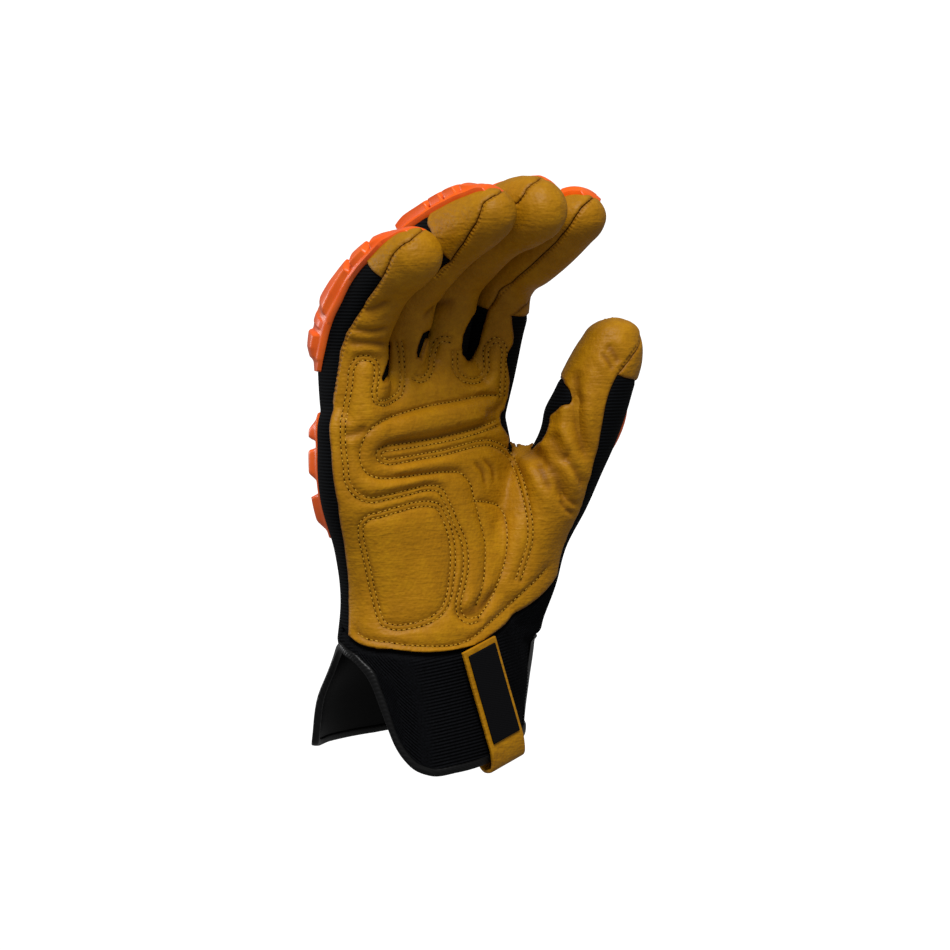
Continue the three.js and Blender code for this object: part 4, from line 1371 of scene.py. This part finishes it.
def mouth_height(angle):
    """The height of the mouth's edge."""
    return smooth(mouth_rows, (np.asarray(angle, float) + 180) % 360 - 180, 1)


def tape_top(angle):
    """The height of the tape's upper edge. On a steep stretch it is measured across the slope."""
    slope = (mouth_height(angle + 2) - mouth_height(angle - 2)) / (math.radians(4) * tape_radius)
    return mouth_height(angle) + tape_width * np.minimum(np.hypot(1, slope), 3)


def grid_piece(name, columns, rows, place_at):
    """A flat grid whose points are moved onto a surface. place_at takes shares along columns and rows."""
    bpy.ops.mesh.primitive_grid_add(x_subdivisions=columns, y_subdivisions=rows, size=2 * MM)
    made = bpy.context.object
    made.name = name
    flat = get_points(made.data)
    set_points(made.data, place_at((flat[:, 0] + 1) / 2, (flat[:, 1] + 1) / 2))
    return made


rib_pitch = 1.32
rib_height = 0.28
rib_slant = 0.16
rib_thickness = 1.2


def ribbed(across, up):
    """The ribbed panel's surface. Its top is tucked under the palm, and its far end under the flap."""
    angle = front_panel[0] + 0.8 + (front_panel[1] - front_panel[0] + 1.7) * across
    low = tape_top(angle) - 1.2
    high = smooth(palm_edge_rows, angle, 1) + 0.2
    height = low + (high - low) * up
    aside = on_wrist(angle, height, 0) @ np.array(picture_right)
    ribs = rib_height * np.cos(2 * math.pi * (height - rib_slant * aside) / rib_pitch)
    under_palm = ease(-4.5, -0.5, height - high)
    under_flap = ease(-1.2, 0.2, angle - front_panel[1])
    tucked = 1.5 * np.maximum(under_palm, 1.25 * under_flap)
    fold = 0.5 * np.sin(height * 0.21 + angle * 0.045) * ease(-20, 10, angle)
    return on_wrist(angle, height, -0.45 + ribs - tucked + fold)


wrist_cuff = grid_piece("ribbed_wrist_panel", 84, 300, ribbed)
apply(wrist_cuff, "SOLIDIFY", thickness=rib_thickness * MM, offset=-1)
face_outwards(wrist_cuff)

# The wrist is knitted from the same black yarn in heavy ribs, which the mesh has. The yarn's own loops are
# drawn across them.
rib_look, tree, shader, where = new_finish("polyester_rib_knit_black", "0A0A0C", 0.82, 0.06)
loops = add(tree, "TexNoise", {"Vector": where, "Scale": 1200, "Detail": 3})
colour_by(tree, shader, loops.outputs[0], [(0.3, "040405"), (0.7, "0C0D10")])
raise_by(tree, shader, loops.outputs[0], 0.5, 0.3)
dress(wrist_cuff, "wrist_cuff", rib_look)

# The back of the cuff, and the flap behind its notch, are one smooth panel of satin-woven nylon. It is sewn
# under the edge of the back's knit, and hangs a little slack from there.
flap_thickness = 1.5
flap_top = 2.4
flap_sag = 0.9


def flap(across, up):
    """The satin flap's surface. Its top edge is tucked under the knit."""
    angle = front_panel[1] + 0.8 + (360 - front_panel[1] + front_panel[0] - 1.6) * across
    low = tape_top(angle) - 1.2
    height = low + (back_edge + flap_top - low) * up
    sag = flap_sag * np.sin(math.radians(1) * angle * 5 + 1.3) * np.sin(math.pi * np.clip(up, 0, 1))
    tucked = 1.7 * ease(-1.6, 0.2, height - back_edge)
    return on_wrist(angle, height, -0.2 + sag - tucked)


cuff_back = grid_piece("satin_flap", 130, 30, flap)
apply(cuff_back, "SOLIDIFY", thickness=flap_thickness * MM, offset=-1)
face_outwards(cuff_back)

# Satin-woven nylon: smooth floats of yarn that give a soft wide shine.
satin_look, tree, shader, where = new_finish("nylon_satin_black", "050506", 0.36, 0.1)
floats = add(tree, "Mapping", {"Vector": where, "Scale": (260, 260, 1400)})
yarns = add(tree, "TexNoise", {"Vector": floats.outputs[0], "Scale": 1, "Detail": 2})
colour_by(tree, shader, yarns.outputs[0], [(0.3, "020202"), (0.7, "040405")])
raise_by(tree, shader, yarns.outputs[0], 0.2, 0.2)
dress(cuff_back, "cuff_back", satin_look)

# A black tape is folded over the raw edge of the cuff's mouth and sewn down all round, through the notch.
# It is a ring whose section is drawn out to the tape's height and flattened towards a rounded oblong.
tape_round = 0.25
tape_squareness = 0.55
tape_middle, tape_half_thickness = -0.9, 1.55
bpy.ops.mesh.primitive_torus_add(
    major_segments=260, minor_segments=16, major_radius=MM, minor_radius=tape_round * MM
)
tape = bpy.context.object
tape.name = "edge_tape"
ring = get_points(tape.data)
angle = np.degrees(np.arctan2(ring[:, 0], -ring[:, 1]))
out = (np.hypot(ring[:, 0], ring[:, 1]) - 1) / tape_round
rise = ring[:, 2] / tape_round
out = np.sign(out) * np.abs(out) ** tape_squareness
rise = np.sign(rise) * np.abs(rise) ** tape_squareness
low, high = mouth_height(angle), tape_top(angle)
height = (low + high) / 2 + (high - low) / 2 * rise
set_points(tape.data, on_wrist(angle, height, tape_middle + tape_half_thickness * out))
face_outwards(tape)

# Woven polyester tape, folded over the edge: flat and tight, so it shines a little at its turn.
tape_look, tree, shader, where = new_finish("polyester_binding_tape", "080809", 0.4, 0.22)
picks = add(tree, "TexWave", {"Vector": where, "Scale": wave_scale(0.9)}, bands_direction="DIAGONAL")
colour_by(tree, shader, picks.outputs["Fac"], [(0.2, "060606"), (0.8, "0B0B0C")])
raise_by(tree, shader, picks.outputs["Fac"], 0.25, 0.2)
dress(tape, "cuff_binding", tape_look)

# The guards are moulded from soft orange rubber and bonded to the knit: one along the back of each finger,
# one over the knuckles and the back of the hand, and one on the thumb. A thin web carries raised blocks
# whose sides slope. Its own columns and blocks are shares of its width and its length.


def block_heights(at, blocks, slope):
    """1 on the blocks and 0 between them, with sloping sides. A block may give its own two slopes."""
    height = np.zeros_like(at)
    for low, high, *own in blocks:
        rising, falling = own or (slope, slope)
        height = np.maximum(height, ease(low, low + rising, at) * (1 - ease(high - falling, high, at)))
    return height


guard_edge, guard_web, guard_sunk = 0.3, 1.6, -0.5


def guard(name, sections, span, ends, columns, blocks, rises, slope, counts):
    """A moulded guard over a form: the web is 1.9 thick at its rounded edges, and the blocks rise higher.
    Rises are rows of a place and the blocks' height there."""

    def place_at(across, along, top=True):
        place = ends[0] + (ends[1] - ends[0]) * along
        low, high = smooth(span, place, 1), smooth(span, place, 2)
        angle = low + (high - low) * across
        if not top:
            return on_section(sections(place), angle, guard_sunk)
        edge = np.minimum(np.minimum(across, 1 - across) * 5.5, np.minimum(along, 1 - along) * 26)
        web = guard_edge + guard_web * np.sqrt(np.clip(1 - (1 - np.clip(edge * 4, 0, 1)) ** 2, 0, 1))
        block = block_heights(across, columns, 0.05) * block_heights(along, blocks, slope)
        top_at = straight(rises, place, 1)
        web = np.minimum(web, guard_edge + 0.8 * (top_at - guard_edge))
        return on_section(sections(place), angle, web + (top_at - web) * block)

    made = grid_piece(name, counts[0], counts[1], lambda a, b: place_at(a, b, False))
    base = len(made.data.vertices)
    shares_across, shares_along = (np.linspace(0, 1, count + 1) for count in counts)
    flat = np.array([(x, y) for y in shares_along for x in shares_across])
    bpy.ops.object.mode_set(mode="EDIT")
    bpy.ops.mesh.select_all(action="SELECT")
    bpy.ops.mesh.extrude_region_move()
    bpy.ops.object.mode_set(mode="OBJECT")
    points = get_points(made.data)
    tree = KDTree(base)
    low_points = place_at(flat[:, 0], flat[:, 1], False)
    for i, p in enumerate(low_points):
        tree.insert(p, i)
    tree.balance()
    picked = np.array([v.select for v in made.data.vertices])
    own = np.array([tree.find(p)[1] for p in points[picked]])
    points[picked] = place_at(flat[own, 0], flat[own, 1])
    set_points(made.data, points)
    face_outwards(made)
    return made


# Places are shares of a finger's length, or heights on the back and the thumb. A span has the angles that
# the guard reaches on both sides, rises the height of its blocks, and counts its faces across and along.
guard_plans = {
    "index": dict(
        ends=(0.24, 0.975),
        span=[(0.2, 135, 225), (0.75, 135, 225), (0.88, 132, 210), (0.95, 128, 200), (1, 128, 196)],
        columns=[(0.14, 0.86)],
        blocks=[(0.05, 0.2), (0.235, 0.43), (0.46, 0.62), (0.65, 0.845), (0.868, 0.985)],
        rises=[(0.2, 4.2), (0.7, 3.6), (0.9, 3.6), (0.97, 2.9), (1, 2)],
        slope=0.012,
        counts=(30, 170),
    ),
    "middle": dict(
        ends=(0.24, 0.955),
        span=[
            (0.2, 120, 205), (0.7, 120, 190), (0.8, 114, 164), (0.9, 110, 166), (0.96, 106, 178),
            (1, 104, 184),
        ],
        columns=[(0.14, 0.86)],
        blocks=[(0.05, 0.2), (0.235, 0.43), (0.46, 0.62), (0.65, 0.8), (0.83, 0.97)],
        rises=[(0.2, 4.2), (0.7, 3.2), (0.84, 1.5), (0.92, 1), (1, 0.8)],
        slope=0.012,
        counts=(30, 170),
    ),
    "ring": dict(
        ends=(0.24, 0.955),
        span=[(0.2, 135, 225), (0.5, 135, 225), (0.62, 135, 219), (0.86, 135, 217), (1, 140, 208)],
        columns=[(0.12, 0.88)],
        blocks=[
            (0.05, 0.19), (0.22, 0.4), (0.43, 0.648), (0.66, 0.74), (0.75, 0.835), (0.86, 0.957),
            (0.97, 0.995),
        ],
        rises=[
            (0.2, 4.2), (0.5, 3.6), (0.55, 4.6), (0.6, 5.2), (0.8, 5.1), (0.86, 4.6), (0.9, 2.9), (0.94, 2),
            (1, 1),
        ],
        slope=0.01,
        counts=(30, 190),
    ),
    "pinky": dict(
        ends=(0.25, 0.955),
        span=[
            (0.24, 135, 246), (0.36, 135, 267), (0.52, 135, 267), (0.62, 135, 258), (0.75, 135, 247),
            (0.84, 138, 234), (0.92, 142, 216), (1, 146, 204),
        ],
        columns=[(0.12, 0.36), (0.64, 0.92)],
        blocks=[(0.07, 0.198), (0.216, 0.269), (0.295, 0.593), (0.617, 0.738), (0.766, 0.88)],
        rises=[
            (0.25, 1.6), (0.29, 1.7), (0.31, 2.9), (0.34, 3.8), (0.38, 3.6), (0.41, 2.4), (0.45, 2.2),
            (0.48, 3.4), (0.55, 4), (0.67, 4), (0.78, 4), (0.83, 2.9), (0.88, 1.4), (0.91, 0.9), (1, 0.8),
        ],
        slope=0.012,
        counts=(44, 180),
    ),
    "back": dict(
        ends=(88, 139),
        span=[(88, 130, 233), (139, 130, 233)],
        columns=[(0.04, 0.22), (0.3, 0.48), (0.56, 0.74), (0.82, 0.985)],
        blocks=[(0.04, 0.365, 0.12, 0.03), (0.447, 0.722, 0.08, 0.03), (0.765, 0.96, 0.03, 0.12)],
        rises=[(88, 5.4), (124, 5.2), (139, 4.6)],
        slope=0.03,
        counts=(110, 60),
    ),
    "thumb": dict(
        ends=(112, 147),
        span=[
            (112, 100, 142), (117, 75, 162), (124, 61, 175), (134, 61, 175), (141, 75, 162), (147, 100, 142),
        ],
        columns=[(0.2, 0.88)],
        blocks=[(0.09, 0.29), (0.39, 0.64), (0.74, 0.91)],
        rises=[(112, 5.2), (147, 5)],
        slope=0.03,
        counts=(44, 50),
    ),
}


def guard_sections(name, places):
    """The sections of the form that a guard lies on."""
    if name in fingers:
        return finger_sections(name, places)
    return level_sections(palm_rows if name == "back" else thumb_rows, places)


guards = {}
for name, plan in guard_plans.items():
    guards[name] = guard(f"{name}_guard", lambda places: guard_sections(name, places), **plan)

# Thermoplastic rubber, moulded in bright orange: a satin skin with soft clear highlights.
rubber_look, tree, shader, where = new_finish("thermoplastic_rubber_orange", "F25C0E", 0.34, 0.5)
flow = add(tree, "TexNoise", {"Vector": where, "Scale": 90, "Detail": 3})
colour_by(tree, shader, flow.outputs[0], [(0.35, "F05A0A"), (0.65, "FA680F")])
sparks = add(tree, "TexNoise", {"Vector": where, "Scale": 1600, "Detail": 1})
raise_by(tree, shader, sparks.outputs[0], 0.12, 0.2)
for name, made in guards.items():
    dress(made, f"guard_{name}", rubber_look)

# The pull tab is a strip of the same leather, sewn on under the palm's edge and folded back below the hem
# into a loop, to pull the glove on by. Its line: depth and height in the side view.
tab_line = [
    (-29.9, 47),
    (-31.3, 29),
    (-32.8, 11),
    (-33.2, 3),
    (-31, -3.2),
    (-27, -3.8),
    (-23.9, 1.5),
    (-23.2, 8),
]
tab_lean = -17
tab_aside = 0.8
tab_hangs_from = 47


def strip(name, line, width, thick, counts):
    """A strip along a line in the side view, leaning to one side about its upper end."""
    line = np.asarray(line, float)
    run = np.concatenate([[0], np.cumsum(np.hypot(*np.diff(line, axis=0).T))])
    table = np.column_stack([run, line])

    def place_at(across, along):
        at = along * run[-1]
        y, z = smooth(table, at, 1), smooth(table, at, 2) - tab_hangs_from
        x = (across - 0.5) * width
        c, s = math.cos(math.radians(tab_lean)), math.sin(math.radians(tab_lean))
        return np.stack([x * c + z * s + tab_aside, y, tab_hangs_from - x * s + z * c], -1)

    made = grid_piece(name, counts[0], counts[1], place_at)
    apply(made, "SOLIDIFY", thickness=thick * MM, offset=0)
    apply(made, "BEVEL", width=0.3 * MM, segments=2, limit_method="ANGLE", angle_limit=math.radians(50))
    face_outwards(made)
    return made


tab_width, tab_thickness = 18.5, 1.4
pull_tab = strip("leather_pull_tab", tab_line, tab_width, tab_thickness, (18, 90))
dress(pull_tab, "pull_tab", leather_look)

# A patch of damask label cloth is sewn on the front of the tab, pulled flat. It is plain, without any print.
patch_line = [(-31.2, 45), (-32.5, 28), (-34.2, 7.8)]
patch_width, patch_thickness = 15, 0.8
label = strip("woven_patch", patch_line, patch_width, patch_thickness, (14, 40))

# Damask label cloth, woven plain in black: two sets of fine threads, crossing.
patch_look, tree, shader, where = new_finish("damask_label_cloth_black", "08080A", 0.7, 0.08)
warp = add(tree, "TexWave", {"Vector": where, "Scale": wave_scale(0.7)}, bands_direction="X")
weft = add(tree, "TexWave", {"Vector": where, "Scale": wave_scale(0.7)}, bands_direction="Z")
cloth = add(tree, "Math", {0: warp.outputs["Fac"], 1: weft.outputs["Fac"]}, operation="MULTIPLY")
colour_by(tree, shader, cloth.outputs[0], [(0, "060607"), (0.8, "101013")])
raise_by(tree, shader, cloth.outputs[0], 0.3, 0.2)
dress(label, "label", patch_look)

# The studio: a sheet of pale paper that runs along the floor and up behind, a soft sky, a large soft lamp
# at the upper left in front, and a weaker one behind. These sizes are in metres.
floor_height = -0.45
bpy.ops.mesh.primitive_grid_add(x_subdivisions=8, y_subdivisions=60, size=12)
floor = bpy.context.object
floor.name = "paper_backdrop"
away = np.array((-math.sin(azimuth), math.cos(azimuth), 0))
aside = np.array(picture_right)
in_front, widened = 2.5, 1.3
bend_start, bend_radius = 1.6, 1.8
for v in floor.data.vertices:
    run = v.co.y + in_front
    turn = min(max((run - bend_start) / bend_radius, 0), math.pi / 2)
    past = max(run - bend_start - bend_radius * math.pi / 2, 0)
    reach = min(run, bend_start) + bend_radius * math.sin(turn)
    rise = bend_radius * (1 - math.cos(turn)) + past
    v.co = Vector(aside * v.co.x * widened + away * reach) + Vector((0, 0, floor_height + rise))
bpy.ops.object.shade_smooth()
paper_look, tree, shader, where = new_finish("matt_backdrop_paper", "F6F6F5", 0.9, 0.1)
pulp = add(tree, "TexNoise", {"Vector": where, "Scale": 3, "Detail": 2})
colour_by(tree, shader, pulp.outputs[0], [(0.3, "F5F5F4"), (0.7, "F8F8F8")])
floor.data.materials.append(paper_look)
# The paper is lit, but doesn't light the glove from below, as a far backdrop wouldn't.
floor.visible_diffuse = False
floor.visible_glossy = False


def lamp_direction(turn, height):
    """The direction to a lamp that stands at a turn from the front and at a height, both in degrees."""
    turn, height = math.radians(turn), math.radians(height)
    return Vector((math.sin(turn) * math.cos(height), -math.cos(turn) * math.cos(height), math.sin(height)))


bpy.ops.object.light_add(type="SUN")
key = bpy.context.object
key.data.energy = 3.25
key.data.angle = math.radians(30)
key.rotation_euler = lamp_direction(-46, 52).to_track_quat("Z", "Y").to_euler()
# A second soft lamp stands behind on the left. It shows as a pale sheen on the rubber that faces it.
towards_rim = Vector((-0.41, 0.91, 0.1))
glove_middle = Vector((0, 0, 0.11))
bpy.ops.object.light_add(type="AREA", location=towards_rim * 1.6 + glove_middle)
rim = bpy.context.object
rim.data.shape = "RECTANGLE"
rim.data.size = 0.35
rim.data.size_y = 0.5
rim.data.energy = 5.5
rim.rotation_euler = towards_rim.to_track_quat("Z", "Y").to_euler()
world = bpy.data.worlds.new("studio")
bpy.context.scene.world = world
world.use_nodes = True
world.node_tree.nodes["Background"].inputs["Color"].default_value = (1, 1, 1, 1)
world.node_tree.nodes["Background"].inputs["Strength"].default_value = 0.25
bpy.context.scene.view_settings.view_transform = "Standard"
